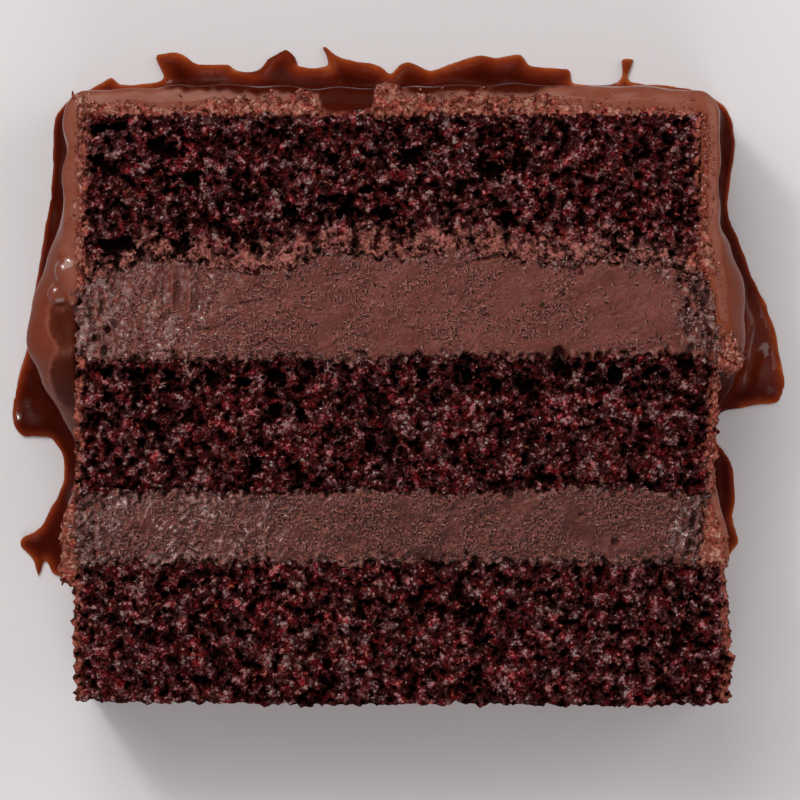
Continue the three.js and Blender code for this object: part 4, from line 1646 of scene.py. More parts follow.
    # Where the glaze is wettest: [x, y, reach].
    SHINE = (
        (-24.8, 46.4, 0.5), (-38.1, 47.4, 0.5), (36.3, 47.6, 0.4), (-61.6, -5.1, 0.6), (-63.4, -7.7, 0.7),
        (60.5, 0.0, 1.6), (-51.9, 25.3, 0.5), (-54.6, 3.2, 0.7),
    )
    BEADS = (
        Blob((-53.3, 15.9, 30.8), (1.9, 1.8, 0.9)),
        Blob((-52.7, 14.2, 30.8), (1.5, 1.2, 0.8)),
        Blob((-54.9, 12.2, 30.0), (1.6, 1.5, 0.8)),
        Blob((-52.4, 12.2, 30.9), (0.7, 2.0, 0.8)),
        Blob((-52.0, 25.3, 31.0), (0.6, 1.6, 0.7)),
    )

    def grid(self) -> Grid:
        """The glaze's grid, fine at the pool and at the rim.

        Returns:
            The grid.
        """
        return Grid(
            Grid.even(-65.4, 65.4, self.step),
            Grid.even(-35.4, 55.2, self.step),
            Grid.joined(
                np.array([-0.5]),
                Grid.even(0, 2.4, 0.3),
                Grid.even(2.4, THICKNESS - 9, 1.3),
                Grid.even(THICKNESS - 9, THICKNESS - 3, 0.6),
                Grid.even(THICKNESS - 3, THICKNESS + 0.4, 0.34),
            ),
        )

    @staticmethod
    def closed(field: Array) -> Array:
        """Makes the grid's border count as outside.

        Args:
            field: Values on the grid, changed in place.

        Returns:
            The same values.
        """
        for axis in range(3):
            for end in (0, -1):
                cut = [slice(None)] * 3
                cut[axis] = end
                field[tuple(cut)] = np.maximum(field[tuple(cut)], 0.01)
        return field

    def pool_outline(self) -> Array:
        """The pool's edge rounded through its points, closed under the cake.

        Returns:
            Points along the edge.
        """
        points = np.array(self.POOL_EDGE)
        padded = np.vstack([2 * points[0] - points[1], points, 2 * points[-1] - points[-2]])
        steps = np.linspace(0, 1, 5)[:-1]
        rounded = []
        for k in range(1, len(padded) - 2):
            before, start, end, after = padded[k - 1 : k + 3]
            lean_in, lean_out = 0.4 * (end - before), 0.4 * (after - start)
            size = np.linalg.norm(end - start)
            lean_in *= min(1, size / max(np.linalg.norm(lean_in), 1e-6))
            lean_out *= min(1, size / max(np.linalg.norm(lean_out), 1e-6))
            for t in steps:
                rounded.append(
                    (2 * t**3 - 3 * t**2 + 1) * start
                    + (t**3 - 2 * t**2 + t) * lean_in
                    + (3 * t**2 - 2 * t**3) * end
                    + (t**3 - t**2) * lean_out
                )
        return np.vstack([rounded, points[-1:], self.INNER_EDGE]).astype(np.float32)

    @staticmethod
    def inside_distance(outline: Array, x: Array, y: Array) -> Array:
        """How far each point of a plan lies inside a closed outline, below zero outside.

        Args:
            outline: Its corners in order.
            x, y: Places in plan.

        Returns:
            The distance at each place.
        """
        nearest = np.full(np.broadcast_shapes(x.shape, y.shape), 1e6, np.float32)
        within = np.zeros(nearest.shape, bool)
        for (ax, ay), (bx, by) in zip(outline, np.roll(outline, -1, axis=0)):
            ux, uy = bx - ax, by - ay
            length = max(ux * ux + uy * uy, 1e-9)
            t = np.clip(((x - ax) * ux + (y - ay) * uy) / length, 0, 1)
            nearest = np.minimum(nearest, (x - ax - t * ux) ** 2 + (y - ay - t * uy) ** 2)
            if ay != by:
                crosses = ((ay > y) != (by > y)) & (x < ux * (y - ay) / uy + ax)
                within ^= crosses
        return np.where(within, np.sqrt(nearest), -np.sqrt(nearest))

    def plan(self, x: Array, y: Array) -> dict[str, Array]:
        """Reads the coat's section over the plan: distance out of the cake, rim, belly, foot and crest.

        Args:
            x, y: Places in plan.

        Returns:
            Those five values at each place, by name.
        """
        out_left = through(LEFT_END, y) - x
        out_right = x - through(RIGHT_END, y)
        out_top = y - through(GLAZE_SEAM, x)
        out_side = np.maximum(out_left, out_right)
        corner = np.hypot(np.maximum(out_side, 0), np.maximum(out_top, 0))
        out = np.where((out_side > 0) | (out_top > 0), corner, np.maximum(out_side, out_top))
        turn = np.arctan2(np.maximum(out_top, 0), np.maximum(out_side, 1e-3)) / (math.pi / 2)
        is_left = out_left > out_right
        found = {"out": out}
        for column, key in enumerate(("rim", "belly", "foot", "crest"), start=1):
            side = np.where(is_left, through(self.LEFT, y, column), through(self.RIGHT, y, column))
            found[key] = side + (through(self.TOP, x, column) - side) * turn
        found["crest"] = np.minimum(found["crest"], 1)
        return found

    def build(self) -> bpy.types.Object:
        """Grows the glaze and returns its mesh object.

        Returns:
            The object.
        """
        grid = self.grid()
        x, y = grid.x[:, None], grid.y[None, :]
        section = self.plan(x, y)
        inside = self.inside_distance(self.pool_outline(), x, y)
        section["inside"] = inside + 0.06 * self.grain.at(x, y, np.float32(1.0), 3.0)
        section["surface"] = self.POOL_HEIGHT * (1 + 0.22 * self.grain.at(x, y, np.float32(3.0), 9.0))
        section["feet"] = np.where(x < 0, self.LEFT_FOOT - y, self.RIGHT_FOOT - y)
        field = np.empty((len(grid.x), len(grid.y), len(grid.z)), np.float32)
        for n, height in enumerate(grid.z):
            field[:, :, n] = self.level(section, x, y, float(height))
        field = self.closed(np.maximum(field, -grid.z[None, None, :]))
        skin = Skin.wrap(field, grid).flat_below(0.0)
        return skin.to_object(self.name, self.marks(skin.points))

    def level(self, section: dict[str, Array], x: Array, y: Array, height: float) -> Array:
        """The field over the plan at one height: the coat on the cake, joined to the pool.

        Args:
            section: The coat's section, and the pool's inside, surface and feet, by name.
            x, y: Places in plan.
            height: The height.

        Returns:
            Values below zero in the glaze.
        """
        top = section["crest"] * CUT_FACE
        share = np.clip(height / top, 0, 1)
        reach = section["foot"] + (section["belly"] - section["foot"]) * ramp(share, 0.02, 0.36)
        fall = np.clip((share - self.FALL_FROM) / (1 - self.FALL_FROM), 0, 1)
        reach = reach + (section["rim"] - reach) * fall**1.8
        shoulder = np.clip((height - (top - self.SHOULDER)) / self.SHOULDER, 0, 1)
        reach = reach * np.sqrt(1 - shoulder**2)
        ripple = 0.16 * self.grain.at(x, y, np.float32(0.35 * height), 7.0)
        wall = 0.9 * (section["out"] - reach - ripple)
        wall = np.maximum(wall, height - top)
        wall = np.maximum(wall, -section["out"] - TOUCH)
        wall = soft_max(wall, section["feet"], 0.8)
        for dent in self.HOLLOWS:
            wall = soft_max(wall, -dent.field(x, y, height), 2.2)
        for bead in self.BEADS:
            wall = soft_min(wall, bead.field(x, y, height), 0.7)
        surface = section["surface"]
        inset = self.MENISCUS * (1 - np.sqrt(1 - np.clip(height / surface, 0, 1) ** 2))
        pool = 0.8 * np.maximum(inset - section["inside"], height - surface)
        pool = np.maximum(pool, -section["out"] - TOUCH)
        return soft_min(wall, pool, 1.6)

    def dark_top(self, x: Array, y: Array, z: Array, wander: Array) -> Array:
        """How dark and wet the coat on the cake's top is, from 0 to 1.

        Args:
            x, y, z: Points of the skin.
            wander: Random values that shift its border.

        Returns:
            Its strength.
        """
        sway = self.grain.at(x, y, 0.3 * z, 13.0) + 0.4 * self.grain.at(x, y, 0.3 * z, 4.5)
        dark = ramp(y - through(DARK_FROM, x) + 0.25 * wander, -0.45, 0.55)
        dark = dark * ramp(y, 40.5, 41.3) * ramp(np.abs(x + 5) + (3.2 - 0.1 * z) * 3.0 * sway, 37.0, 30.0)
        return dark * (1 - 0.85 * ramp(9.0 * sway - z, -19.0, -9.0))

    def lip(self, x: Array, y: Array, z: Array, wander: Array) -> tuple[Array, Array]:
        """The pale fold along the left bulge's lip, and the clear amber inside it, from 0 to 1.

        Args:
            x, y, z: Points of the skin.
            wander: Random values that shift the borders.

        Returns:
            The strength of both.
        """
        beyond = x - through(self.LIP, y) + 0.18 * wander
        fold = bell(beyond, 0.30) * ramp(z, 16.0, 22.0) * ramp(-x, 50.0, 52.0) * ramp(y, -14.0, -10.0)
        fold = fold * (1 - ramp(y, 10.0, 13.0))
        amber = ramp(beyond, 0.0, 0.7) * ramp(-x, 44.0, 50.0) * ramp(z + 0.8 * wander, 14.0, 20.0)
        amber = amber * ramp(y, -14.5, -11.0) * (1 - ramp(y + 0.7 * wander, 8.5, 13.0))
        amber = amber * (1 - 0.5 * bell(y - 2.8 - 0.3 * (x + 54), 0.9))
        return fold, amber

    def marks(self, points: Array) -> dict[str, Array]:
        """What the finish reads at each point of the skin.

        Args:
            points: The skin's points.

        Returns:
            How far each point is settled into the pool, the pool's depth, how far it is down the coat's
            outside, how warm and how amber the coat is there, and how wet it is.
        """
        x, y, z = points.T
        wander = self.grain.at(x, y, z, 2.4)
        section = self.plan(x, y)
        inside = self.inside_distance(self.pool_outline(), x, y)
        dark_top = self.dark_top(x, y, z, wander)
        lobe = ramp(x, 54.0, 56.5) * ramp(y, -5.0, -1.0) * (1 - ramp(y, 8.0, 16.0))
        low_right = (1 - ramp(y + 0.3 * wander, 0.4, 1.8)) * ramp(x, 49.5, 50.5) * ramp(y, -9.0, -7.0)
        low_right = low_right * (1 - ramp(x, 55.2, 57.2))
        settled = np.maximum(1 - ramp(z + 0.8 * wander, 2.5, 9.0), dark_top)
        settled = np.maximum(settled, low_right)
        depth = np.clip(inside / through(self.CLEAR_TO, y), 0, 1)
        # The right lobe's pool is painted lighter, as painted reflection.
        depth = np.maximum(depth * (1 - 0.42 * lobe), 0.45 * dark_top)
        depth = np.maximum(depth, 0.9 * low_right)
        fold, amber = self.lip(x, y, z, wander)
        flank = ramp(section["out"] - section["rim"] + 0.3 * wander, -0.5, 1.2)
        flank = flank * (1 - 0.8 * fold)
        right = ramp(x, 46.0, 49.5) * ramp(y, -6.0, -2.0)
        warm = 0.7 * right * ramp(y, 28.0, 18.0) * (1 - ramp(section["out"] + 0.9 * wander, 1.0, 5.5))
        warm = np.maximum(warm, right * (1 - ramp(section["out"] + 0.4 * wander, 0.3, 1.8)))
        wet_lobe = 0.45 * lobe * ramp(x, 55.5, 57.0) * ramp(inside, 0.6, 1.6)
        wet = np.maximum(0.22 * (1 - settled) * (1 - amber), wet_lobe)
        for bead in self.BEADS:
            wet = np.maximum(wet, 1 - ramp(bead.reach(x, y, z), 1.0, 1.4))
        for shine_x, shine_y, reach in self.SHINE:
            wet = np.maximum(wet, 1 - ramp(np.hypot(x - shine_x, y - shine_y), 0.5 * reach, 1.5 * reach))
        return {"settled": settled, "depth": depth, "flank": flank, "warm": warm, "amber": amber, "wet": wet}


@dataclass(frozen=True)
class Heap:
    """Where loose crumbs lie: a line in plan, how far they stray from it, how high they pile, their sizes."""

    line: Table
    count: int
    stray: float
    low: float
    high: float
    small: float = 0.35
    large: float = 0.9

    def spot(self, rng: np.random.Generator) -> Array:
        """A chance place beside the line.

        Args:
            rng: The random draws.

        Returns:
            Its x and y.
        """
        line = np.array(self.line)
        lengths = np.concatenate([[0], np.cumsum(np.linalg.norm(np.diff(line, axis=0), axis=1))])
        along = rng.uniform(0, lengths[-1])
        middle = np.array([np.interp(along, lengths, line[:, n]) for n in (0, 1)])
        return middle + rng.normal(0, self.stray / 2, 2)


@dataclass
class Crumbs:
    """Loose crumbs and torn shreds as small lumps, joined in one piece."""

    grain: GrainBlock
    name: str
    heaps: tuple[Heap, ...]
    seed: int
    # The light mark from a crumb's underside to its top: painted shade under it and a painted highlight on
    # top.
    darkest: float = 0.18
    lightest: float = 0.75

    LOWEST = 4.0  # crumbs lie on the slice, not on the floor
    DENT = 0.30  # how deep a crumb's dents are, in radii

    @staticmethod
    def ground(place: Array, under: list[BVHTree]) -> float:
        """The height of the highest piece under a place, or zero.

        Args:
            place: Its x and y.
            under: The pieces to look at.

        Returns:
            The height.
        """
        start = Vector((place[0] * METRES, place[1] * METRES, 2 * THICKNESS * METRES))
        hits = [tree.ray_cast(start, Vector((0, 0, -1)))[0] for tree in under]
        return max([hit.z / METRES for hit in hits if hit is not None], default=0.0)

    @staticmethod
    def ball() -> tuple[Array, Array]:
        """A round ball of eighty triangles.

        Returns:
            Its points and faces.
        """
        golden = (1 + math.sqrt(5)) / 2
        points = [(-1, golden, 0), (1, golden, 0), (-1, -golden, 0), (1, -golden, 0)]
        points += [(c, a, b) for a, b, c in points] + [(b, c, a) for a, b, c in points]
        points = [np.array(point) / math.hypot(1, golden) for point in points]
        side = 2 / math.hypot(1, golden)
        count = len(points)
        faces = []
        for i in range(count):
            for j in range(i + 1, count):
                for k in range(j + 1, count):
                    a, b, c = points[i], points[j], points[k]
                    if max(np.linalg.norm(a - b), np.linalg.norm(b - c), np.linalg.norm(a - c)) < 1.01 * side:
                        outward = np.dot(np.cross(b - a, c - a), a + b + c) > 0
                        faces.append((i, j, k) if outward else (i, k, j))
        middles: dict[tuple[int, int], int] = {}

        def middle(a: int, b: int) -> int:
            """The point halfway along an edge, made once.

            Args:
                a, b: The edge's ends.

            Returns:
                Its number.
            """
            key = (min(a, b), max(a, b))
            if key not in middles:
                halfway = points[a] + points[b]
                middles[key] = len(points)
                points.append(halfway / np.linalg.norm(halfway))
            return middles[key]

        split = []
        for a, b, c in faces:
            ab, bc, ca = middle(a, b), middle(b, c), middle(c, a)
            split += [(a, ab, ca), (b, bc, ab), (c, ca, bc), (ab, bc, ca)]
        return np.array(points), np.array(split, np.int32)

    def build(self, under: list[BVHTree]) -> bpy.types.Object:
        """Makes the crumbs and lets each rest on what lies under it. One with nothing under it is left out.

        Args:
            under: The pieces that they may lie on.

        Returns:
            One mesh object with every crumb.
        """
        rng = np.random.default_rng(self.seed)
        points, faces = self.ball()
        all_points, all_faces, tones = [], [], []
        for heap in [heap for heap in self.heaps for _ in range(heap.count)]:
            middle = heap.spot(rng)
            size = rng.uniform(heap.small, heap.large) * rng.uniform(0.7, 1.0)
            turn, _ = np.linalg.qr(rng.standard_normal((3, 3)))
            stretch = rng.uniform(0.6, 1.25, 3)
            level = self.ground(middle, under) + size * rng.uniform(heap.low, heap.high)
            if level < self.LOWEST:
                continue
            place = np.array([*middle, level])
            local = (points * stretch * size / 2) @ turn.T
            rough = self.grain.at(*(local + 3 * place).T.astype(np.float32), 0.7 * size)
            local = local * (1 + self.DENT * rough[:, None])
            outward = faces[:, ::-1] if np.linalg.det(turn) < 0 else faces
            all_faces.append(outward + len(points) * len(all_points))
            all_points.append(local + place)
            tones.append(np.full(len(points), rng.random()))
        skin = Skin(np.concatenate(all_points).astype(np.float32), np.concatenate(all_faces), [])
        heights = [part[:, 2] - part[:, 2].min() for part in all_points]
        height = np.concatenate([part / part.max() for part in heights])
        tone = np.concatenate(tones)
        # Each crumb is painted lighter at its top and darker underneath, as painted highlight and painted
        # shade.
        marks = {
            "tone": tone,
            "light": self.darkest + (self.lightest - self.darkest) * height * (0.7 + 0.3 * tone),
            "hollow": 0.3 * (1 - height),
            "wet": tone,
            "torn": np.zeros_like(tone),
            "smear": np.zeros_like(tone),
            "crust": np.zeros_like(tone),
        }
        return skin.to_object(self.name, marks)


@dataclass(frozen=True)
class Lamp:
    """A square soft light that points at the slice."""

    name: str
    place: Place  # in metres
    size: float  # its side, in metres
    power: float  # in watts
    tint: Colour

    def hang(self) -> None:
        """Hangs the lamp."""
        data = bpy.data.lights.new(self.name, "AREA")
        data.size = self.size
        data.energy = self.power
        data.color = self.tint
        lamp = bpy.data.objects.new(self.name, data)
        lamp.location = self.place
        away = np.array(self.place) / np.linalg.norm(self.place)
        lamp.rotation_euler = (math.acos(away[2]), 0, math.atan2(away[0], -away[1]))
        bpy.context.scene.collection.objects.link(lamp)


@dataclass
class Studio:
    """The pale floor, the soft lights and the camera straight over the slice."""

    height: float = 900.0  # of the camera over the cut face
    view_width: float = 128.0  # across the picture, at the cut face
    centre: tuple[float, float] = (0.16, -4.77)
    sensor: float = 36.0
    floor_half: float = 3.0  # half the floor's side, in metres
    sky: Colour = (1.0, 0.985, 0.98)
    sky_strength: float = 0.29

    LAMPS = (
        Lamp("key", (-0.30, 0.58, 0.90), 0.75, 6.5, (1.0, 0.975, 0.95)),
        Lamp("spark", (-0.42, 0.50, 0.95), 0.12, 2.7, (1.0, 0.98, 0.96)),
        Lamp("left", (-0.85, -0.1, 0.65), 0.7, 0.3, (0.97, 0.98, 1.0)),
        Lamp("right", (0.85, 0.25, 0.65), 0.8, 3.0, (1.0, 0.98, 0.98)),
        Lamp("front", (0.1, -0.9, 0.65), 0.8, 4.2, (0.98, 0.98, 1.0)),
    )

    def camera(self) -> None:
        """Places the camera."""
        data = bpy.data.cameras.new("camera")
        data.sensor_width = self.sensor
        data.lens = self.sensor * self.height / self.view_width
        data.clip_end = 10
        camera = bpy.data.objects.new("camera", data)
        x, y = self.centre
        camera.location = (x * METRES, y * METRES, (THICKNESS + self.height) * METRES)
        bpy.context.scene.collection.objects.link(camera)
        bpy.context.scene.camera = camera

    def floor(self) -> None:
        """Lays the floor."""
        half = self.floor_half
        mesh = bpy.data.meshes.new("floor")
        corners = [(-half, -half, 0), (half, -half, 0), (half, half, 0), (-half, half, 0)]
        mesh.from_pydata(corners, [], [(0, 1, 2, 3)])
        mesh.materials.append(FloorFinish().build())
        floor = bpy.data.objects.new("floor", mesh)
        bpy.context.scene.collection.objects.link(floor)

    def build(self) -> None:
        """Sets the studio up."""
        self.camera()
        self.floor()
        world = bpy.data.worlds.new("studio")
        world.use_nodes = True
        background = world.node_tree.nodes["Background"]
        background.inputs["Color"].default_value = (*self.sky, 1)
        background.inputs["Strength"].default_value = self.sky_strength
        bpy.context.scene.world = world
        for lamp in self.LAMPS:
            lamp.hang()
        bpy.context.scene.view_settings.view_transform = "Standard"


# ---- The slice ----

# The largest holes of each sponge.
BOTTOM_HOLES = ((12.0, -38.4, 1.1, 0.9), (-34.7, -34.3, 0.9, 0.8), (-19.4, -34.6, 1.0, 0.7))
MIDDLE_HOLES = (
    (-46.8, -0.3, 1.1, 0.9), (-42.2, -0.9, 1.2, 0.9), (-36.6, -1.0, 1.0, 1.1), (-30.2, -0.8, 0.9, 1.0),
    (-25.3, -1.9, 1.2, 1.1), (-19.8, -1.1, 1.5, 1.2), (-14.7, 0.8, 1.0, 0.9), (-10.4, 1.4, 1.1, 0.8),
    (3.8, -0.6, 1.0, 1.2), (10.9, -0.8, 1.1, 1.2), (15.4, -2.4, 1.0, 0.9), (20.8, -2.6, 0.9, 1.1),
    (25.7, 0.8, 1.1, 1.3), (31.0, 0.4, 0.7, 0.9), (34.2, -0.8, 1.1, 1.3), (40.2, 0.0, 1.1, 0.9),
    (45.7, 1.0, 1.3, 0.9), (-19.8, -6.4, 1.1, 1.3), (-15.7, -6.8, 0.9, 0.9), (-39.4, -8.9, 1.0, 0.9),
    (-23.0, -14.9, 1.1, 0.9), (-4.5, -12.0, 1.1, 1.1),
)
TOP_HOLES = (
    (-45.4, 20.0, 3.6, 1.1), (-34.8, 19.8, 1.4, 1.4), (1.8, 34.4, 1.6, 1.5), (-48.0, 38.6, 1.0, 0.9),
    (-44.9, 39.2, 1.1, 0.7), (-38.6, 36.3, 1.6, 1.1), (-36.6, 35.0, 1.5, 1.0), (-10.6, 34.0, 1.1, 1.0),
    (-5.0, 29.0, 1.2, 0.9), (-17.1, 25.3, 1.3, 1.1), (-8.4, 25.6, 1.5, 0.9), (-2.2, 25.0, 1.7, 0.9),
    (-33.0, 30.8, 1.3, 1.6), (-48.4, 33.6, 1.3, 1.2), (35.4, 19.2, 1.0, 0.7), (15.0, 32.0, 1.6, 1.2),
    (17.6, 24.4, 1.2, 1.0),
)
# Where the ganache is smooth.
LOWER_CALM = ((4.4, -29.6, 4.2, 1.6),)
UPPER_CALM = (
    (-35.0, 13.2, 4.2, 3.4), (35.7, 10.3, 6.6, 5.9), (-1.6, 14.4, 2.4, 1.6), (10.8, 6.1, 1.2, 2.0),
    (16.4, 9.8, 1.8, 1.3), (22.1, 15.6, 2.8, 1.5),
)
# Scratches: x and y of both ends, bow, width and depth, and how much painted shade darkens each if that isn't
# the usual.
LOWER_SCRATCHES = [
    [0.6, -29.9, 8.2, -29.9, 0.0, 1.3, 0.35], [0.2, -30.0, 2.4, -28.0, 0.0, 0.2, -0.25],
    [34.0, -27.5, 35.3, -27.5, 0.0, 0.7, 0.9], [35.5, -21.0, 36.8, -25.5, 0.1, 0.2, -0.25],
    [38.6, -20.8, 39.4, -25.0, 0.1, 0.2, -0.25], [40.6, -21.5, 41.0, -26.0, 0.1, 0.2, -0.25],
    [21.5, -22.7, 21.9, -24.8, 0.0, 0.2, -0.25], [28.7, -23.2, 29.9, -23.2, 0.0, 0.3, 0.5],
]
UPPER_SCRATCHES = [
    [-37.8, 16.4, -37.7, 10.2, 0.1, 0.85, 0.55, 0.0], [-35.0, 16.0, -35.1, 9.8, 0.1, 0.80, 0.55, 0.0],
    [-32.1, 16.2, -32.4, 8.2, 0.2, 0.95, 0.60, 0.0], [-36.4, 16.0, -36.3, 9.2, 0.0, 0.30, -0.50],
    [-33.5, 16.0, -33.6, 8.4, 0.0, 0.30, -0.50], [-47.0, 13.4, -44.6, 16.8, 0.1, 0.35, 0.80],
    [-31.0, 10.6, -29.6, 10.6, 0.0, 0.2, 0.4], [-33.4, 6.3, -28.4, 7.0, -0.1, 0.22, 0.40],
    [-28.6, 7.0, -25.4, 9.0, 0.1, 0.22, 0.40], [-26.6, 10.4, -21.2, 11.3, 0.1, 0.2, 0.35],
    [-24.0, 3.2, -20.5, 5.1, 0.1, 0.3, 0.5], [-17.9, 2.4, -14.0, 2.8, 0.0, 0.2, 0.35],
    [0.2, 6.9, 3.4, 6.6, 0.0, 0.16, 0.3], [4.8, 5.6, 7.4, 5.4, 0.0, 0.16, 0.3],
    [8.6, 6.1, 9.9, 6.0, 0.0, 0.16, 0.3], [34.0, 8.8, 35.3, 9.0, 0.0, 0.16, 0.3],
    [28.8, 7.7, 30.2, 7.6, 0.0, 0.16, 0.3], [32.6, 11.8, 33.4, 12.0, 0.0, 0.16, 0.3],
    [36.8, 6.0, 37.8, 5.8, 0.0, 0.16, 0.3], [22.5, 10.3, 23.3, 10.3, 0.0, 0.4, 0.6],
    [25.7, 12.2, 26.5, 12.2, 0.0, 0.4, 0.6], [11.8, 17.4, 19.6, 18.6, 0.3, 0.35, 0.6],
    [25.3, 3.9, 26.0, 0.4, 0.2, 0.90, 1.6], [30.3, 2.9, 30.3, 0.9, 0.0, 0.50, 1.2],
    [33.6, 2.3, 33.9, 0.6, 0.0, 0.50, 1.2], [45.2, 2.6, 45.9, 0.9, 0.1, 0.85, 1.4],
    [-36.4, 3.4, -35.6, 1.2, 0.1, 0.40, 0.9], [-7.2, 3.0, -5.0, 2.4, 0.1, 0.35, 0.8],
]
# Crumb that the knife dragged over the glaze: its lower and upper edge, right and left end, and its settings.
DRIFTS = {
    "crumbs_over_top": (
        LayerShape(
            [[-52, 40.4], [52, 40.3]],
            CRUMBS_TO,
            [[40, 48.8], [45, 48.8]],
            [[40, -51.0], [45, -50.6]],
        ),
        {"seed": 7, "ragged": 0.2, "wall_rows": 2},
    ),
    "crumbs_left_edge": (
        LayerShape(
            [[-56, 12.5], [-50, 12.5]],
            [[-56, 44.2], [-50, 44.2]],
            [[12, -50.3], [20, -50.6], [30, -50.5], [45, -50.2]],
            [[12, -51.8], [20, -52.0], [27, -51.5], [33, -52.1], [38, -51.7], [45, -52.2]],
        ),
        {"seed": 8, "ragged": 0.35, "wall_rows": 2, "hem": 0.4},
    ),
    "crumbs_right_edge": (
        LayerShape(
            [[46, 15.2], [52, 14.6]],
            [[46, 41.0], [52, 41.0]],
            [[14, 51.6], [17, 51.0], [20, 50.4], [24, 49.8], [30, 49.6], [36, 49.9], [42, 49.4]],
            [[14, 47.0], [17, 45.6], [20, 47.4], [24, 48.1], [42, 48.2]],
        ),
        {"seed": 9, "ragged": 0.2, "wall_rows": 2},
    ),
    "crumbs_left_ledge": (
        LayerShape(
            [[-56, -34.3], [-50, -34.2]],
            [[-56, -20.2], [-50, -20.0]],
            [[-35, -51.2], [-20, -51.3]],
            [[-35, -54.2], [-32, -54.3], [-29, -54.0], [-25, -54.0], [-22.5, -53.2], [-20, -51.9]],
        ),
        {"seed": 10, "ragged": 0.25, "wall_rows": 6, "sunk": 3.5, "lift": 0.05},
    ),
    "crumbs_right_ledge": (
        LayerShape(
            [[46, -31.6], [56, -31.4]],
            [[46, -20.4], [56, -20.2]],
            [[-32, 52.6], [-27, 52.4], [-24, 51.4], [-21, 50.2], [-20, 50.0]],
            [[-32, 47.6], [-20, 49.0]],
        ),
        {"seed": 14, "ragged": 0.25, "wall_rows": 3, "sunk": 2.5, "lift": 0.0},
    ),
    "crumbs_right_clump": (
        LayerShape(
            [[49.8, 1.2], [51.4, -0.2], [52.6, 0.2], [53.8, -0.6], [55.4, 1.4]],
            [[49.8, 6.0], [51.6, 5.4], [53.2, 6.0], [54.4, 4.4], [55.4, 3.2]],
            [[-1, 54.2], [1.6, 55.4], [3.4, 54.4], [6, 53.4]],
            [[-1, 50.6], [2.5, 49.9], [6, 50.3]],
        ),
        {"seed": 16, "ragged": 0.35, "wall_rows": 12, "sunk": 11.0, "lift": -0.5},
    ),
    "crumbs_right_line": (
        LayerShape(
            [[46, -19.6], [53, -19.6]],
            [[46, -0.8], [53, -0.8]],
            [[-20, 50.4], [-10, 50.9], [-3, 51.1], [0, 51.3]],
            [[-20, 49.2], [-10, 49.5], [-3, 49.7], [0, 49.4]],
        ),
        {"seed": 11, "ragged": 0.2, "wall_rows": 3, "sunk": 2.5, "lift": 0.0},
    ),
}


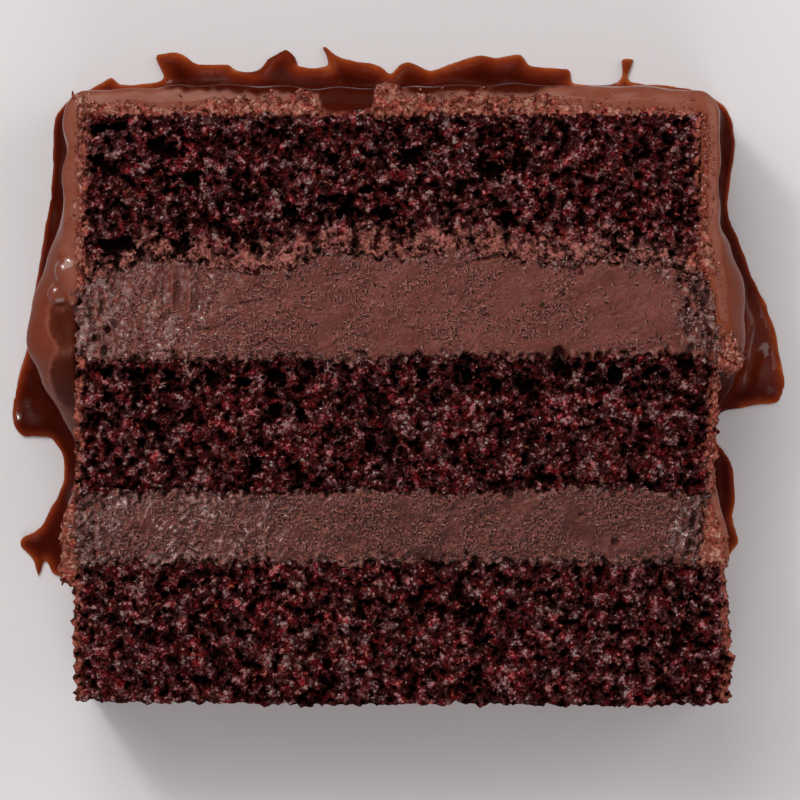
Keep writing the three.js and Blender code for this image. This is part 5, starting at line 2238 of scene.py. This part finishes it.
class Slice:
    """The whole slice, made layer by layer."""

    def __init__(self) -> None:
        """Prepares the grain, the ragged seams and the finishes."""
        effects = Effects()
        self.pieces: list[bpy.types.Object] = []
        self.grain = GrainBlock(seed=5)
        self.glaze_seam = roughened(GLAZE_SEAM, self.grain, swing=0.25)
        self.upper_top = roughened(UPPER_FILLING_TOP, self.grain, swing=0.50)
        self.upper_foot = roughened(UPPER_FILLING_FOOT, self.grain, swing=0.32)
        self.lower_top = roughened(LOWER_FILLING_TOP, self.grain, swing=0.32)
        self.lower_foot = roughened(LOWER_FILLING_FOOT, self.grain, swing=0.32)
        self.base = roughened(BASE, self.grain, swing=0.16)
        self.sponge = SpongeFinish().build(effects)
        self.ganache = GanacheFinish().build(effects)
        self.glaze = GlazeFinish().build(effects)
        # The dragged crumb: the same painted shade and highlight along its light mark, in paler, browner
        # colours.
        self.drift = SpongeFinish(
            name="dragged_crumb",
            tones=(
                (0.0, (0.022, 0.0032, 0.0024)),
                (0.2, (0.055, 0.0090, 0.0064)),
                (0.4, (0.142, 0.031, 0.021)),
                (0.55, (0.225, 0.059, 0.041)),
                (0.75, (0.350, 0.117, 0.083)),
                (1.0, (0.530, 0.250, 0.195)),
            ),
            crimson=(1.12, 0.76, 0.72),
            ash=(0.90, 1.08, 1.04),
            fleck=0.25,
        ).build(effects)

    def place(self, made: bpy.types.Object, node: str, material: bpy.types.Material, slot: Slot) -> None:
        """Dresses a piece, attaches it to the body and hides the solid that it stands for.

        Args:
            made: The piece.
            node: The solid that it stands for, if any.
            material: Its material.
            slot: Not used.
        """
        made.data.materials.append(material)
        self.pieces.append(made)
        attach(made, BODY)
        if node:
            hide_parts(node)
        triangles = sum(len(polygon.vertices) - 2 for polygon in made.data.polygons)
        log.info("%s: %d triangles after faces are split", made.name, triangles)

    def build(self) -> None:
        """Makes every piece."""
        for layer in self.sponges():
            self.place(layer.build(), layer.node, self.sponge, Slot.SPONGE)
        for layer in self.fillings():
            self.place(layer.build(), layer.node, self.ganache, Slot.GANACHE)
        glaze = Glaze(self.grain)
        self.place(glaze.build(), glaze.node, self.glaze, Slot.GLAZE)
        for layer in self.drifts():
            self.place(layer.build(), layer.node, self.drift, Slot.SPONGE)
        self.scatter()

    def sponges(self) -> tuple[SpongeLayer, ...]:
        """The three layers of sponge.

        Returns:
            The layers from the foot up.
        """
        return (
            SpongeLayer(
                self.grain,
                "sponge_bottom_crumb",
                LayerShape(self.base, self.lower_foot, LOWEST_RIGHT_END, LEFT_END),
                seed=1,
                node="sponge_bottom",
                step=0.188,
                wall_rows=40,
                skip=3,
                wall_pores=1.0,
                bright=0.324,
                holes=BOTTOM_HOLES,
            ),
            SpongeLayer(
                self.grain,
                "sponge_middle_crumb",
                LayerShape(self.lower_top, self.upper_foot, RIGHT_END, LEFT_END),
                seed=2,
                node="sponge_middle",
                bright=0.319,
                holes=MIDDLE_HOLES,
            ),
            SpongeLayer(
                self.grain,
                "sponge_top_crumb",
                LayerShape(self.upper_top, self.glaze_seam, RIGHT_END, LEFT_END),
                seed=3,
                node="sponge_top",
                step=0.189,
                ragged_ends=0.32,
                smeared_low=True,
                holes=TOP_HOLES,
            ),
        )

    def fillings(self) -> tuple[GanacheLayer, ...]:
        """Both layers of ganache.

        Returns:
            The layers from the foot up.
        """
        return (
            GanacheLayer(
                self.grain,
                "ganache_lower",
                LayerShape(self.lower_foot, self.lower_top, RIGHT_END, LEFT_END),
                seed=4,
                node="filling_lower",
                shade=-0.33,
                frayed=1.0,
                frayed_left=0.012,
                gritty=1.7,
                fold=0.80,
                swing=0.80,
                creased=0.7,
                satin=-12.0,
                glow=0.12,
                comb=Comb(-18.0, 0.05, 70.0),
                lumpy_left=7.0,
                lumpy_right=7.0,
                calm=LOWER_CALM,
                scratches=tuple(Scratch(*row) for row in LOWER_SCRATCHES),
            ),
            GanacheLayer(
                self.grain,
                "ganache_upper",
                LayerShape(self.upper_foot, self.upper_top, RIGHT_END, LEFT_END),
                seed=5,
                node="filling_upper",
                step=0.192,
                shade=-0.05,
                frayed_left=0.030,
                gritty=1.1,
                glow=0.24,
                comb=Comb(-38.0, 0.14, 90.0),
                lumpy_right=7.5,
                calm=UPPER_CALM,
                scratches=tuple(Scratch(*row) for row in UPPER_SCRATCHES),
            ),
        )

    def drifts(self) -> list[CrumbDrift]:
        """The crumb that the knife dragged over the glaze."""
        return [CrumbDrift(self.grain, name, shape, **how) for name, (shape, how) in DRIFTS.items()]

    def scatter(self) -> None:
        """Drops loose crumbs and torn shreds on the pieces made so far."""
        graph = bpy.context.evaluated_depsgraph_get()
        under = [BVHTree.FromObject(piece, graph) for piece in self.pieces]
        above = [[x, y + 0.9] for x, y in UPPER_FILLING_TOP[1:-1]]
        below = [[x, y - 0.4] for x, y in UPPER_FILLING_FOOT[1:-1]]
        seam_crumbs = Crumbs(
            self.grain,
            "seam_crumbs",
            (
                Heap(above, 90, 1.6, -0.3, 0.1, 0.4, 1.1),
                Heap(below, 50, 1.2, -0.3, 0.1, 0.4, 0.9),
                Heap(LOWER_FILLING_TOP[1:-1], 40, 1.2, -0.3, 0.1, 0.4, 0.9),
                Heap(LOWER_FILLING_FOOT[1:-1], 40, 1.2, -0.3, 0.1, 0.4, 0.9),
            ),
            seed=12,
            lightest=0.5,
        )
        self.place(seam_crumbs.build(under), "", self.sponge, Slot.SPONGE)
        loose = Crumbs(
            self.grain,
            "loose_crumbs",
            (
                Heap([[51.2, 4.6], [52.8, 2.8], [54.4, 1.2]], 50, 2.4, -0.3, 0.1, 0.4, 1.0),
                Heap([[50.0, 19.5], [50.6, 15.5], [50.6, 10.0], [51.6, 6.0]], 34, 1.4, -0.3, 0.1, 0.3, 0.7),
                Heap([[50.2, 40.0], [50.0, 24.0]], 40, 0.9, -0.2, 0.1, 0.25, 0.6),
                Heap([[-51.6, 40.0], [-51.8, 18.0]], 40, 1.0, -0.2, 0.1, 0.25, 0.6),
                Heap([[-51.6, -2.0], [-51.7, -20.0]], 70, 0.7, -0.2, 0.2, 0.3, 0.8),
                Heap([[-50, 43.0], [-30, 43.2], [-14, 44.0]], 45, 1.2, -0.3, 0.1, 0.3, 0.8),
                Heap([[-4, 44.6], [14, 44.2], [26, 43.4], [47, 42.2]], 65, 1.2, -0.3, 0.1, 0.3, 0.8),
            ),
            seed=15,
        )
        self.place(loose.build(under), "", self.drift, Slot.SPONGE)
        shreds = Crumbs(
            self.grain,
            "torn_shreds",
            (
                Heap([[46.5, 16.0], [47.0, 9.0], [49.8, 4.5]], 70, 2.6, -0.2, 0.3, 0.4, 1.2),
                Heap([[23, 17.6], [34, 18.0], [44, 16.5]], 60, 1.8, -0.2, 0.3, 0.4, 1.2),
                Heap([[-50.6, 13], [-49.6, 4]], 40, 1.6, -0.2, 0.3, 0.4, 1.1),
                Heap([[-52, -24], [-49.5, -30]], 30, 2.0, -0.2, 0.3, 0.4, 1.1),
            ),
            seed=13,
            darkest=-0.8,
            lightest=0.1,
        )
        self.place(shreds.build(under), "", self.ganache, Slot.GANACHE)


def main() -> None:
    """Builds the studio, then the slice."""
    logging.basicConfig(level=logging.INFO, format="%(message)s", stream=sys.stdout)
    Studio().build()
    Slice().build()


if __name__ == "__main__":
    main()
